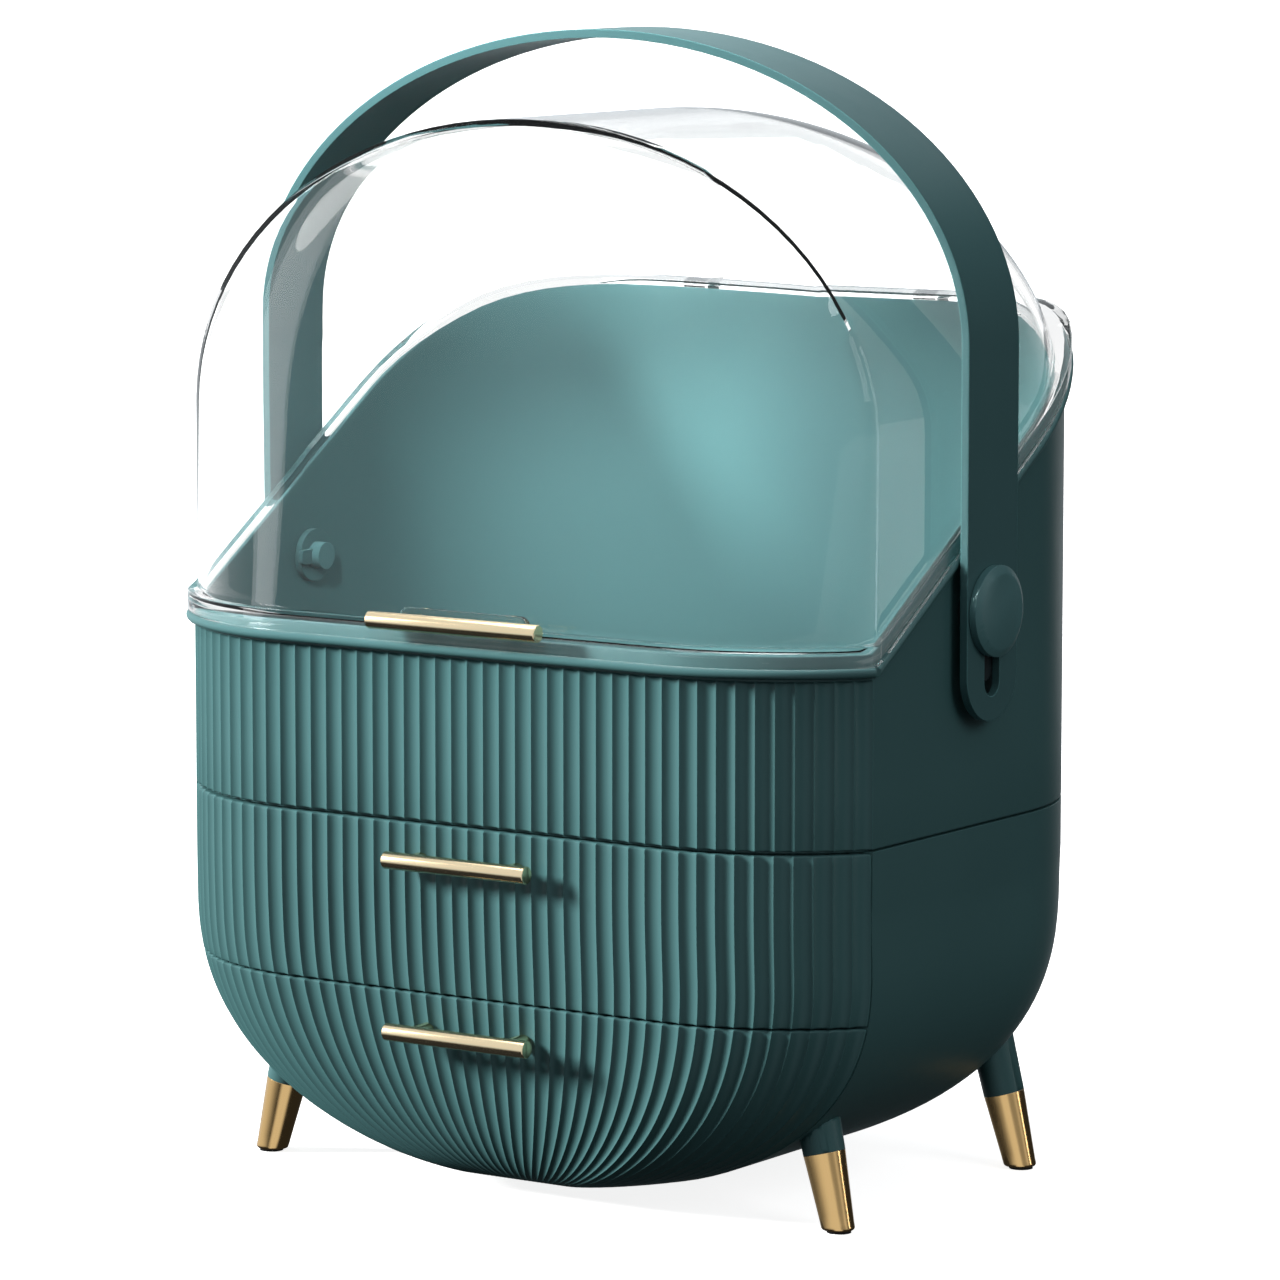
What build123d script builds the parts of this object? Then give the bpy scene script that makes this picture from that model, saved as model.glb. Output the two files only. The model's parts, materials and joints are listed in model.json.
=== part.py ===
from build123d import *
import os
from math import asin, atan2, cos, radians, sin, sqrt, tan

os.makedirs("parts", exist_ok=True)

# Body plan: flat fluted front, an arc at each side of it, a crisp corner, flat sides, round rear
body_half_width = 135.0
body_depth = 204.0
front_flat_half = 73.5
front_arc_radius = 76.5
rear_corner_radius = 76.5

# Heights of the body and of the rim line in the side view
body_bottom = 6.5
drawer_seam_height = 70.5
cabinet_top = 127.2
flute_top = 182.0
rim_front_height = 186.0
rim_rear_height = 283.6
rim_bend_y = 183.6
rim_front_radius = 8.0
rim_rear_radius = 65.0

# Bowl below the straight walls: width and depth shrink by rounded powers of the height
bowl_vertex_height = 4.33
side_bowl_start = 88.5
end_bowl_start = 110.8
bowl_centre_y = 54.1
bowl_level_power = 1.5
side_power = 2.29
side_root = 2.14
end_power = 1.82
end_root = 4.74

# Walls and plates
shell_wall = 3.0
front_wall = 4.0
tray_wall = 3.0
tray_floor = 5.0
plate_thickness = 2.8
base_deck_top = 25.6
box_wall = 2.0
box_floor = 2.0

# Flutes of the front
flute_count = 46
flute_depth = 1.25

# Clearances
seam_gap = 0.6
corner_gap = 0.4
plate_front_gap = 1.0
box_front_gap = 0.5
slide_gap = 0.25
pivot_gap = 0.1
press_gap = 0.01
screw_hole_gap = 0.1
lid_side_gap = 0.8
lid_rest_gap = 0.1
tray_shadow_step = 0.7
tray_shadow_inset = 1.2

# Rim bead and the lip inside the lid
bead_projection = 2.9
bead_height = 3.2
lip_height = 4.2

# Clear lid
lid_wall = 2.2
lid_inset = 0.4
lid_flange_projection = 2.4
lid_flange_height = 7.0
lid_web_thickness = 2.0
lid_crease_setback = 1.2
lid_crease_wall_share = 0.7
arch_spring_height = 256.5
arch_rise = 97.8
roof_end_y = 132.0
roof_drop_height = 265.0
rear_inset = 7.0
arch_turns = (0, 12, 24, 36, 48, 58, 67, 75, 81, 86)
least_window_lean = 0.03
tab_half_width = 25.3
tab_above_flange = 4.6
tab_top = rim_front_height + lid_flange_height + tab_above_flange
tab_corner_radius = 3.5

# Lid hinge
hinge_x = 46.5
hinge_behind_rear = 7.5
hinge_below_rim = 2.4
hinge_pin_radius = 1.5
hinge_pin_head_radius = 2.55
hinge_eye_radius = 3.6
hinge_eye_width = 9.0
hinge_arm_lift = 1.2
bracket_lug_width = 4.0
bracket_lug_front_share = 0.4
bracket_lug_rear_share = 0.8
bracket_lug_low_share = 0.6
bracket_plate_drop = 4.2
bracket_plate_height = 16.0
bracket_plate_thickness = 2.4
bracket_plate_margin = 9.0
bracket_screw_drop = 8.0
bracket_screw_length = 4.6

# Carrying handle
handle_side_gap = 0.9
handle_thickness = 2.8
handle_width = 30.8
handle_centre_y = 92.3
handle_spring_height = 283.7
handle_top = 381.9
handle_leg_end_drop = 35.8
handle_lift = 23.0

# Pivots of the handle
pivot_below_rim = 27.0
stem_radius = 4.65
stem_tail = 6.0
knob_radius = 14.8
knob_face_radius = 12.1
knob_thickness = 3.8
knob_chamfer = 1.4
spacer_radius = 10.5
lower_boss_radius = 5.8
lower_boss_drop = 17.5
collar_radius = 9.0
collar_thickness = 2.4
clip_width = 5.0
clip_thickness = 1.6
clip_half_length = 10.0

# Bars
bar_radius = 2.9
bar_end_chamfer = 0.4
drawer_bar_length = 56.2
drawer_bar_y = -6.6
drawer_bar_post_x = 19.0
upper_bar_height = 115.0
lower_bar_height = 58.3
lid_bar_length = 66.8
lid_bar_y = -7.5
lid_bar_below_tab_top = 4.2
lid_bar_height = tab_top - lid_bar_below_tab_top
lid_bar_post_x = 17.0
lid_bar_spigot_radius = 1.5
bar_post_radius = 2.4
bar_post_seat = 0.3

# Screws
screw_radius = 1.25
screw_head_radius = 2.8
screw_head_height = 1.8
screw_point_gap = 0.4
screw_dome_share = 0.5
screw_recess_share = 0.4
flat_screw_recess_share = 0.6
bar_screw_bite = 3.0
boss_radius = 4.0
boss_skin = 1.5
upper_front_screw_x = 56.0
lower_front_screw_x = 36.0
upper_front_screw_height = 92.0
lower_front_screw_height = 48.0

# Drawers
upper_box_bottom = 74.6
upper_box_top = 120.0
lower_box_bottom = 26.0
lower_box_top = 64.0
upper_travel = 125.0
lower_travel = 100.0
stop_x = 40.0
stop_half_width = 5.0
stop_thickness = 3.0
ear_thickness = 4.0
ear_depth = 6.0
guide_margin = 3.5
guide_thickness = 4.0
guide_height = 7.0
guide_front_y = 52.0
upper_guide_length = 60.0
lower_guide_length = 56.0

# Ledges and posts of the casing that carry the plates
ledge_width = 9.0
ledge_height = 4.4
ledge_front_y = 40.0
ledge_rear_y = 122.0
ledge_screw_inset = 4.6
ledge_front_screw_y = 46.0
ledge_rear_screw_y = 116.0
post_x = 50.0
front_post_y = 72.0
rear_post_y = 128.0
tray_screw_bite = 4.0

# Legs
front_foot_x = 114.5
front_foot_y = 44.5
rear_foot_x = 112.5
rear_foot_y = 162.0
leg_splay = 14.0
leg_tilt = 2.0
ferrule_length = 23.0
ferrule_bottom_radius = 5.4
ferrule_top_radius = 6.9
ferrule_round = 1.0
leg_top_radius = 8.2
leg_reach = 78.0
tenon_radius = 4.0
tenon_length = 15.0
pad_radius = 3.9
pad_height = 2.4
pad_projection = 0.8
leg_screw_radius = 1.9
leg_screw_head_radius = 3.6
leg_screw_head_height = 2.4
leg_screw_length = 16.0
leg_screw_sink = 1.1
leg_screw_room = 12.0

# How far cutting tools run past what they cut: a little, and well clear of the object
cut_margin = 1.0
beyond = 60.0

# Places that follow from the sizes above; the origin is on the floor, mid depth
hinge_y = body_depth + hinge_behind_rear
hinge_z = rim_rear_height - hinge_below_rim
origin_y = (lid_bar_y - bar_radius + hinge_y + hinge_eye_radius) / 2
middle_shelf_top = drawer_seam_height + plate_thickness / 2
middle_shelf_low = middle_shelf_top - plate_thickness
top_deck_low = cabinet_top - plate_thickness
base_deck_low = base_deck_top - plate_thickness
plate_screw_length = plate_thickness + ledge_height - screw_point_gap
collar_outer_x = body_half_width - tray_wall - slide_gap
clip_outer_x = collar_outer_x - collar_thickness
clip_inner_x = clip_outer_x - clip_thickness
handle_outer_half = body_half_width + bead_projection + handle_side_gap + handle_thickness


def bowl_scale(height, wall=0.0):
    # Share of the width and of the depth at a height; an inner surface lies a wall higher
    vertex = bowl_vertex_height + wall
    side = max(0.0, (side_bowl_start - height) / (side_bowl_start - vertex))
    end = max(0.0, (end_bowl_start - height) / (end_bowl_start - vertex))
    return (1 - side ** side_power) ** (1 / side_root), (1 - end ** end_power) ** (1 / end_root)


def scaled_y(y, share):
    return bowl_centre_y + (y - bowl_centre_y) * share


def front_skin_y(height):
    return scaled_y(0.0, bowl_scale(height)[1])


def casing_inner_x(height):
    return (body_half_width - shell_wall) * bowl_scale(height, shell_wall)[0]


def corner_y(inset=0.0):
    # Where the front arc meets the side plane
    reach = body_half_width - inset - front_flat_half
    return front_arc_radius - sqrt((front_arc_radius - inset) ** 2 - reach ** 2)


# The rim climbs from the corner to the bend; the handle's pivots keep their distance below it
rim_slope = atan2(rim_rear_height - rim_front_height, rim_bend_y - corner_y())
pivot_rim_height = rim_front_height + (handle_centre_y - corner_y()) * tan(rim_slope)
pivot_height = pivot_rim_height - pivot_below_rim


def front_points(inset=0.0):
    # Right half of the front: end of the flat, middle of the arc, corner
    radius = front_arc_radius - inset
    turn = asin((body_half_width - inset - front_flat_half) / radius)
    middle_x = front_flat_half + radius * sin(turn / 2)
    middle_y = front_arc_radius - radius * cos(turn / 2)
    return (front_flat_half, inset), (middle_x, middle_y), (body_half_width - inset, corner_y(inset))


def rear_points(inset=0.0):
    # Right half of the rear: end of the side, middle of the arc, end of the rear flat
    radius = rear_corner_radius - inset
    centre_x = body_half_width - rear_corner_radius
    centre_y = body_depth - rear_corner_radius
    diagonal = radius * sqrt(0.5)
    middle = (centre_x + diagonal, centre_y + diagonal)
    return (centre_x + radius, centre_y), middle, (centre_x, centre_y + radius)


def point_maker(height, scale):
    def make(point, side=1):
        return Vector(side * point[0] * scale[0], scaled_y(point[1], scale[1]), height)
    return make


def front_edges(height, inset=0.0, scale=(1.0, 1.0)):
    # From the left corner across the front to the right corner
    at = point_maker(height, scale)
    flat, middle, corner = front_points(inset)
    return [
        Edge.make_three_point_arc(at(corner, -1), at(middle, -1), at(flat, -1)),
        Edge.make_line(at(flat, -1), at(flat)),
        Edge.make_three_point_arc(at(flat), at(middle), at(corner)),
    ]


def rear_edges(height, inset=0.0, scale=(1.0, 1.0)):
    # From the right corner round the rear to the left corner
    at = point_maker(height, scale)
    corner = front_points(inset)[2]
    side, middle, flat = rear_points(inset)
    return [
        Edge.make_line(at(corner), at(side)),
        Edge.make_three_point_arc(at(side), at(middle), at(flat)),
        Edge.make_line(at(flat), at(flat, -1)),
        Edge.make_three_point_arc(at(flat, -1), at(middle, -1), at(side, -1)),
        Edge.make_line(at(side, -1), at(corner, -1)),
    ]


def fluted_edges(height, scale=(1.0, 1.0), end_gap=0.0):
    # Concave flutes that meet in ridges, from the left corner to the right corner
    turn = asin((body_half_width - front_flat_half) / front_arc_radius)
    half_run = front_flat_half + front_arc_radius * turn - end_gap
    pitch = 2 * half_run / flute_count
    at = point_maker(height, scale)

    def front_point(run, inset):
        side = -1 if run < 0 else 1
        past_flat = abs(run) - front_flat_half
        if past_flat <= 0:
            return run, inset
        radius = front_arc_radius - inset
        angle = past_flat / front_arc_radius
        return side * (front_flat_half + radius * sin(angle)), front_arc_radius - radius * cos(angle)

    edges = []
    for number in range(flute_count):
        start = -half_run + number * pitch
        ridge = front_point(start, 0.0)
        valley = front_point(start + pitch / 2, flute_depth * scale[0])
        next_ridge = front_point(start + pitch, 0.0)
        edges.append(Edge.make_three_point_arc(at(ridge), at(valley), at(next_ridge)))
    return edges


def closed_wire(edges):
    return Wire(edges + [Edge.make_line(edges[-1].position_at(1), edges[0].position_at(0))])


def outline(height, inset=0.0, scale=(1.0, 1.0)):
    return Wire(front_edges(height, inset, scale) + rear_edges(height, inset, scale))


def rear_outline(height, inset=0.0, scale=(1.0, 1.0)):
    return closed_wire(rear_edges(height, inset, scale))


def fluted_front_outline(height, scale=(1.0, 1.0)):
    return closed_wire(fluted_edges(height, scale, corner_gap))


def prism(wire, height):
    return Solid.extrude(Face(wire), Vector(0, 0, height))


def bowl_levels(low, high, steps):
    # Levels closer together near the bottom, where the bowl turns in
    return [low + (high - low) * (number / steps) ** bowl_level_power for number in range(steps + 1)]


def bowl_loft(wire_maker, low, high, steps, wall=0.0):
    return Solid.make_loft([wire_maker(height, wall, bowl_scale(height, wall))
                            for height in bowl_levels(low, high, steps)])


def cylinder(start, end, radius, end_radius=None):
    start = Vector(*start)
    along = Vector(*end) - start
    plane = Plane(origin=start, z_dir=along)
    if end_radius is None:
        return Solid.make_cylinder(radius, along.length, plane)
    return Solid.make_cone(radius, end_radius, along.length, plane)


def block(low, high):
    return Solid.make_box(*[b - a for a, b in zip(low, high)], Plane(origin=low))


def mirrored(solid):
    return mirror(solid, about=Plane.YZ)


def both_sides(solid):
    return [solid, mirrored(solid)]


def side_region(upper, lower=None):
    # Everything between two curves parallel to the rim line, seen from the side
    def curve(offset):
        front_z = rim_front_height + offset
        rear_z = rim_rear_height + offset
        kink_y = corner_y()
        reach = rim_front_radius * tan(rim_slope / 2)
        start = (0, kink_y - reach, front_z)
        bend = (0, kink_y - reach + rim_front_radius * sin(rim_slope / 2),
                front_z + rim_front_radius * (1 - cos(rim_slope / 2)))
        leave = (0, kink_y + reach * cos(rim_slope), front_z + reach * sin(rim_slope))
        meet_z = rear_z - rim_rear_radius * (1 - cos(rim_slope))
        meet_y = kink_y + (meet_z - front_z) / tan(rim_slope)
        level_y = meet_y + rim_rear_radius * sin(rim_slope)
        crest = (0, level_y - rim_rear_radius * sin(rim_slope / 2),
                 rear_z - rim_rear_radius * (1 - cos(rim_slope / 2)))
        meet = (0, meet_y, meet_z)
        level = (0, level_y, rear_z)
        return [
            Edge.make_line((0, -beyond, front_z), start),
            Edge.make_three_point_arc(start, bend, leave),
            Edge.make_line(leave, meet),
            Edge.make_three_point_arc(meet, crest, level),
            Edge.make_line(level, (0, body_depth + beyond, rear_z)),
        ]

    top = curve(upper)
    if lower is None:
        bottom = [Edge.make_line((0, -beyond, 0), (0, body_depth + beyond, 0))]
    else:
        bottom = curve(lower)
    front_end = Edge.make_line(top[0].position_at(0), bottom[0].position_at(0))
    rear_end = Edge.make_line(top[-1].position_at(1), bottom[-1].position_at(1))
    face = Face(Wire(top + bottom + [front_end, rear_end]))
    reach = body_half_width + beyond
    return Solid.extrude(face.moved(Location((-reach, 0, 0))), Vector(2 * reach, 0, 0))


def rim_ring(outer_inset, inner_inset, lower, upper):
    # Ring that follows the plan and the rim line
    base = rim_front_height - beyond
    height = rim_rear_height + beyond - base
    ring = prism(outline(base, outer_inset), height) - prism(outline(base, inner_inset), height)
    return ring & side_region(upper, lower)


def round_screw(seat, along, length, radius=screw_radius, head_radius=screw_head_radius,
                head_height=screw_head_height):
    # Screw with a domed head behind its seat and a round driver recess
    seat = Vector(*seat)
    along = Vector(*along).normalized()
    shank = Solid.make_cylinder(radius, length, Plane(origin=seat, z_dir=along))
    head = Solid.make_cylinder(head_radius, head_height, Plane(origin=seat, z_dir=-along))
    rim = head.edges().filter_by(GeomType.CIRCLE).sort_by_distance(seat - along * head_height)[0]
    head = head.fillet(head_height * screw_dome_share, [rim])
    recess_seat = seat - along * head_height * screw_dome_share
    recess = Solid.make_cylinder(head_radius * screw_recess_share, head_height,
                                 Plane(origin=recess_seat, z_dir=-along))
    return shank + head - recess


def flat_screw(x, y, top, length):
    # Screw with a countersunk head, flush with a plate's top
    sink = screw_head_radius - screw_radius
    shank = cylinder((x, y, top - length), (x, y, top - sink / 2), screw_radius)
    head = cylinder((x, y, top - sink), (x, y, top), screw_radius, screw_head_radius)
    recess = cylinder((x, y, top - sink * flat_screw_recess_share), (x, y, top + sink),
                      screw_head_radius * screw_recess_share)
    return shank + head - recess


def flat_screw_hole(x, y, top, depth):
    sink = screw_head_radius - screw_radius
    bore = screw_radius + screw_hole_gap
    hole = cylinder((x, y, top - depth), (x, y, top), bore)
    return hole + cylinder((x, y, top - sink), (x, y, top), bore, screw_head_radius + screw_hole_gap)


def save(node, *shapes):
    place = Location((0, -origin_y, 0))
    solids = [solid.moved(place) for shape in shapes for solid in shape.solids()]
    shape = solids[0] if len(solids) == 1 else Compound(children=solids)
    export_step(shape, f"parts/{node}.step")
    print(f"{node}: {len(solids)} solid(s), {sum(solid.volume for solid in solids):.0f} mm3")


def inside_volumes(wall):
    # Space inside the body with a given wall: bowl below, straight above
    bowl = bowl_loft(outline, body_bottom + wall, end_bowl_start, 8, wall)
    return bowl, prism(outline(end_bowl_start, wall), cabinet_top + beyond - end_bowl_start)


def hollowed(shape, inside):
    for volume in inside:
        shape = shape - volume
    return shape


def ledge_screw_points(plate_low):
    # Screw places over the ledges, measured in from the casing's inner face
    x = casing_inner_x(plate_low) - ledge_screw_inset
    return [(side * x, y) for side in (-1, 1) for y in (ledge_front_screw_y, ledge_rear_screw_y)]


def make_ledge(plate_low):
    inner_x = casing_inner_x(plate_low)
    return block((inner_x - ledge_width, ledge_front_y, plate_low - ledge_height),
                 (inner_x + shell_wall / 2, ledge_rear_y, plate_low))


def post_points():
    return [(side * post_x, y) for side in (-1, 1) for y in (front_post_y, rear_post_y)]


def make_shell(inside):
    # Casing round both drawers, open at the front
    bowl = bowl_loft(rear_outline, body_bottom, end_bowl_start, 9)
    shell = bowl + prism(rear_outline(end_bowl_start), cabinet_top - end_bowl_start)
    shell = hollowed(shell, inside)
    for x, y in post_points():
        shell = shell + cylinder((x, y, body_bottom + shell_wall * 2), (x, y, base_deck_low), boss_radius)
        shell = shell - cylinder((x, y, base_deck_low - ledge_height), (x, y, base_deck_low + cut_margin),
                                 screw_radius + press_gap)
    for plate_low in (middle_shelf_low, top_deck_low):
        for ledge in both_sides(make_ledge(plate_low)):
            shell = shell + ledge
        for x, y in ledge_screw_points(plate_low):
            shell = shell - cylinder((x, y, plate_low - ledge_height - cut_margin),
                                     (x, y, plate_low + cut_margin), screw_radius + screw_hole_gap)
    return shell


def make_plate(low, inside):
    # Plate that fills the casing's plan and stops short of the drawer fronts
    front_y = scaled_y(corner_y(shell_wall), bowl_scale(low, shell_wall)[1])
    rear = block((-body_half_width, front_y, low), (body_half_width, body_depth, low + plate_thickness))
    nose = prism(outline(low, front_wall + plate_front_gap, bowl_scale(low, front_wall)), plate_thickness)
    return (rear + nose) & (inside[0] if low < end_bowl_start else inside[1])


class Drawer:
    # A drawer: fluted front, tub, bar, its screws, and the stops and guides in the casing
    def __init__(self, name, low, high, levels, bottom, top, deck_low, stop_base, bar_height,
                 screw_x, screw_height, travel, guide_length):
        self.name = name
        self.low = low
        self.high = high
        self.levels = levels
        self.bottom = bottom
        self.top = top
        self.deck_top = deck_low + plate_thickness
        self.stop_base = stop_base
        self.bar_height = bar_height
        self.screw_x = screw_x
        self.screw_height = screw_height
        self.travel = travel
        self.guide_length = guide_length
        # The tub leaves room for a guide strip on the plate at each side
        self.inset = front_wall + box_front_gap
        self.half = casing_inner_x(deck_low) - guide_margin - guide_thickness - slide_gap
        self.scale = (self.half / (body_half_width - self.inset), bowl_scale(bottom, front_wall)[1])
        self.front_y = scaled_y(self.inset, self.scale[1])
        self.inner_y = scaled_y(self.inset + box_wall, self.scale[1])
        self.rear_y = scaled_y(body_depth - self.inset, self.scale[1])
        self.bar_seat_y = front_skin_y(bar_height) + flute_depth + bar_post_seat

    def screw_places(self):
        # x, height, y at the skin, and whether the screw goes on into a bar post
        skin_y = front_skin_y(self.screw_height) + flute_depth + bar_post_seat
        places = [(side * drawer_bar_post_x, self.bar_height, self.bar_seat_y, True) for side in (-1, 1)]
        return places + [(side * self.screw_x, self.screw_height, skin_y, False) for side in (-1, 1)]

    def make_panel(self, inside):
        # Fluted front that follows the bowl
        levels = bowl_levels(self.low, min(self.high, end_bowl_start), self.levels)
        panel = Solid.make_loft([fluted_front_outline(height, bowl_scale(height)) for height in levels])
        if self.high > end_bowl_start:
            panel = panel + prism(fluted_front_outline(end_bowl_start), self.high - end_bowl_start)
        panel = hollowed(panel, inside)
        for x, height, skin_y, _ in self.screw_places():
            panel = panel + cylinder((x, skin_y + boss_skin, height), (x, self.front_y, height), boss_radius)
        for x, height, skin_y, through in self.screw_places():
            if through:
                panel = panel - cylinder((x, -beyond, height), (x, self.bar_seat_y, height),
                                         bar_post_radius + press_gap)
                start_y = 0.0
                bore = screw_radius + screw_hole_gap
            else:
                start_y = skin_y
                bore = screw_radius + press_gap
            panel = panel - cylinder((x, start_y, height), (x, self.inner_y, height), bore)
        return panel

    def make_box(self):
        outer = prism(outline(self.bottom, self.inset, self.scale), self.top - self.bottom)
        inner = prism(outline(self.bottom + box_floor, self.inset + box_wall, self.scale),
                      self.top - self.bottom)
        box = outer - inner
        for side in (-1, 1):
            box = box + block((side * stop_x - stop_half_width, self.rear_y - ear_thickness,
                               self.top - ear_depth),
                              (side * stop_x + stop_half_width, self.rear_y, self.stop_base - slide_gap))
        for x, height, _, _ in self.screw_places():
            box = box - cylinder((x, 0, height), (x, self.inner_y + cut_margin, height),
                                 screw_radius + screw_hole_gap)
        return box

    def make_stops(self):
        rear = self.rear_y - ear_thickness - self.travel - slide_gap
        return [block((side * stop_x - stop_half_width, rear - stop_thickness, self.top + slide_gap),
                      (side * stop_x + stop_half_width, rear, self.stop_base)) for side in (-1, 1)]

    def make_guides(self, box):
        # The tub's corners bulge past its straight sides, so the strips clear its widest place
        low_x = box.bounding_box().max.X + slide_gap
        return both_sides(block((low_x, guide_front_y, self.deck_top),
                                (low_x + guide_thickness, guide_front_y + self.guide_length,
                                 self.deck_top + guide_height)))

    def make_screws(self, wanted):
        screws = []
        for x, height, skin_y, through in self.screw_places():
            if through == wanted:
                reach = self.inner_y - skin_y
                length = reach + bar_screw_bite if through else reach - screw_point_gap
                screws.append(round_screw((x, self.inner_y, height), (0, -1, 0), length))
        return screws

    def build(self, inside):
        save(f"{self.name}_drawer_front", self.make_panel(inside))
        box = self.make_box()
        save(f"{self.name}_drawer_box", box)
        save(f"{self.name}_drawer_bar", make_drawer_bar(self.bar_height, self.bar_seat_y))
        save(f"{self.name}_drawer_bar_screws", *self.make_screws(True))
        save(f"{self.name}_drawer_front_screws", *self.make_screws(False))
        save(f"{self.name}_drawer_stops", *self.make_stops())
        save(f"{self.name}_drawer_guides", *self.make_guides(box))


def make_rod(length, y, height):
    rod = cylinder((-length / 2, y, height), (length / 2, y, height), bar_radius)
    return rod.chamfer(bar_end_chamfer, None, rod.edges().filter_by(GeomType.CIRCLE))


def make_drawer_bar(height, seat_y):
    # Round bar on two posts, tapped for the screws that come from behind
    bar = make_rod(drawer_bar_length, drawer_bar_y, height)
    for x in (-drawer_bar_post_x, drawer_bar_post_x):
        bar = bar + cylinder((x, drawer_bar_y, height), (x, seat_y, height), bar_post_radius)
        bar = bar - cylinder((x, seat_y - bar_screw_bite - screw_point_gap, height),
                             (x, seat_y + cut_margin, height), screw_radius + press_gap)
    return bar


def make_lid_bar():
    # Round bar on two posts, whose thin spigots fill holes in the lid's tab
    bar = make_rod(lid_bar_length, lid_bar_y, lid_bar_height)
    for x in (-lid_bar_post_x, lid_bar_post_x):
        start = (x, lid_bar_y, lid_bar_height)
        bar = bar + cylinder(start, (x, -lid_flange_projection, lid_bar_height), bar_post_radius)
        bar = bar + cylinder(start, (x, 0, lid_bar_height), lid_bar_spigot_radius)
    return bar


def bracket_screw_points():
    # One screw at each side of the lugs of a bracket
    offset = hinge_eye_width / 2 + bracket_lug_width + bracket_plate_margin / 2
    height = rim_rear_height - bracket_plate_drop - bracket_screw_drop
    return [(hinge_x - offset, height), (hinge_x + offset, height)]


def make_tray():
    # Open tray with a fluted front, a bead round its rim and a lip inside the lid
    base = cabinet_top + tray_shadow_step
    body = prism(outline(cabinet_top, flute_depth + tray_shadow_inset), tray_shadow_step)
    body = body + prism(Wire(fluted_edges(base) + rear_edges(base)), flute_top - base)
    body = body + prism(outline(flute_top), rim_rear_height + beyond - flute_top)
    body = body & side_region(0)
    body = body - prism(outline(cabinet_top + tray_floor, tray_wall), rim_rear_height)
    body = body + rim_ring(-bead_projection, tray_wall, -bead_height, 0)
    body = body + rim_ring(lid_side_gap, tray_wall, -bead_height, lip_height)
    for x, y in ledge_screw_points(top_deck_low):
        body = body - cylinder((x, y, cabinet_top - cut_margin),
                               (x, y, cabinet_top + tray_screw_bite + press_gap), screw_radius + press_gap)
    for side in (-1, 1):
        body = body - cylinder((side * (body_half_width + cut_margin), handle_centre_y, pivot_height),
                               (side * (body_half_width - tray_wall - cut_margin), handle_centre_y,
                                pivot_height), stem_radius + pivot_gap)
        for x, height in bracket_screw_points():
            body = body - cylinder((side * x, body_depth - tray_wall - cut_margin, height),
                                   (side * x, body_depth + cut_margin, height), screw_radius + press_gap)
    return body


def dome_section(height, turn, wall):
    # One level of the clear dome: curved window, straight sides, round rear corners
    share = cos(turn)
    half = (body_half_width - lid_inset - wall) * share
    flat, middle, corner = front_points(lid_inset + wall)
    window_low = rim_front_height + lid_flange_height
    apex = arch_spring_height + arch_rise
    lean = max(least_window_lean, min(1.0, (apex - height) / (apex - window_low)))
    crease_y = corner_y() + lid_crease_setback + wall * lid_crease_wall_share
    flat_x = flat[0] * share
    flat_y = crease_y - (corner[1] - flat[1]) * lean
    middle_x = middle[0] * share
    middle_y = crease_y - (corner[1] - middle[1]) * lean
    drop = min(1.0, max(0.0, (height - roof_drop_height) / (apex - wall - roof_drop_height)))
    roof_y = roof_end_y - wall
    rear_y = roof_y + (body_depth - rear_inset - wall - roof_y) * sqrt(1 - drop ** 2)
    radius = (rear_corner_radius - rear_inset - wall) * share
    corner_x = half - radius
    diagonal = radius * (1 - sqrt(0.5))

    def at(x, y):
        return Vector(x, y, height)

    return Wire([
        Edge.make_three_point_arc(at(-half, crease_y), at(-middle_x, middle_y), at(-flat_x, flat_y)),
        Edge.make_line(at(-flat_x, flat_y), at(flat_x, flat_y)),
        Edge.make_three_point_arc(at(flat_x, flat_y), at(middle_x, middle_y), at(half, crease_y)),
        Edge.make_line(at(half, crease_y), at(half, rear_y - radius)),
        Edge.make_three_point_arc(at(half, rear_y - radius), at(half - diagonal, rear_y - diagonal),
                                  at(corner_x, rear_y)),
        Edge.make_line(at(corner_x, rear_y), at(-corner_x, rear_y)),
        Edge.make_three_point_arc(at(-corner_x, rear_y), at(diagonal - half, rear_y - diagonal),
                                  at(-half, rear_y - radius)),
        Edge.make_line(at(-half, rear_y - radius), at(-half, crease_y)),
    ])


def dome_volumes(wall):
    # Straight part and arched roof of the dome
    low = rim_front_height - lid_flange_height
    levels = (low, rim_front_height + lid_flange_height, arch_spring_height)
    sides = Solid.make_loft([dome_section(height, 0.0, wall) for height in levels], ruled=True)
    sections = []
    for degrees_up in arch_turns:
        turn = radians(degrees_up)
        sections.append(dome_section(arch_spring_height + (arch_rise - wall) * sin(turn), turn, wall))
    return sides, Solid.make_loft(sections)


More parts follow.
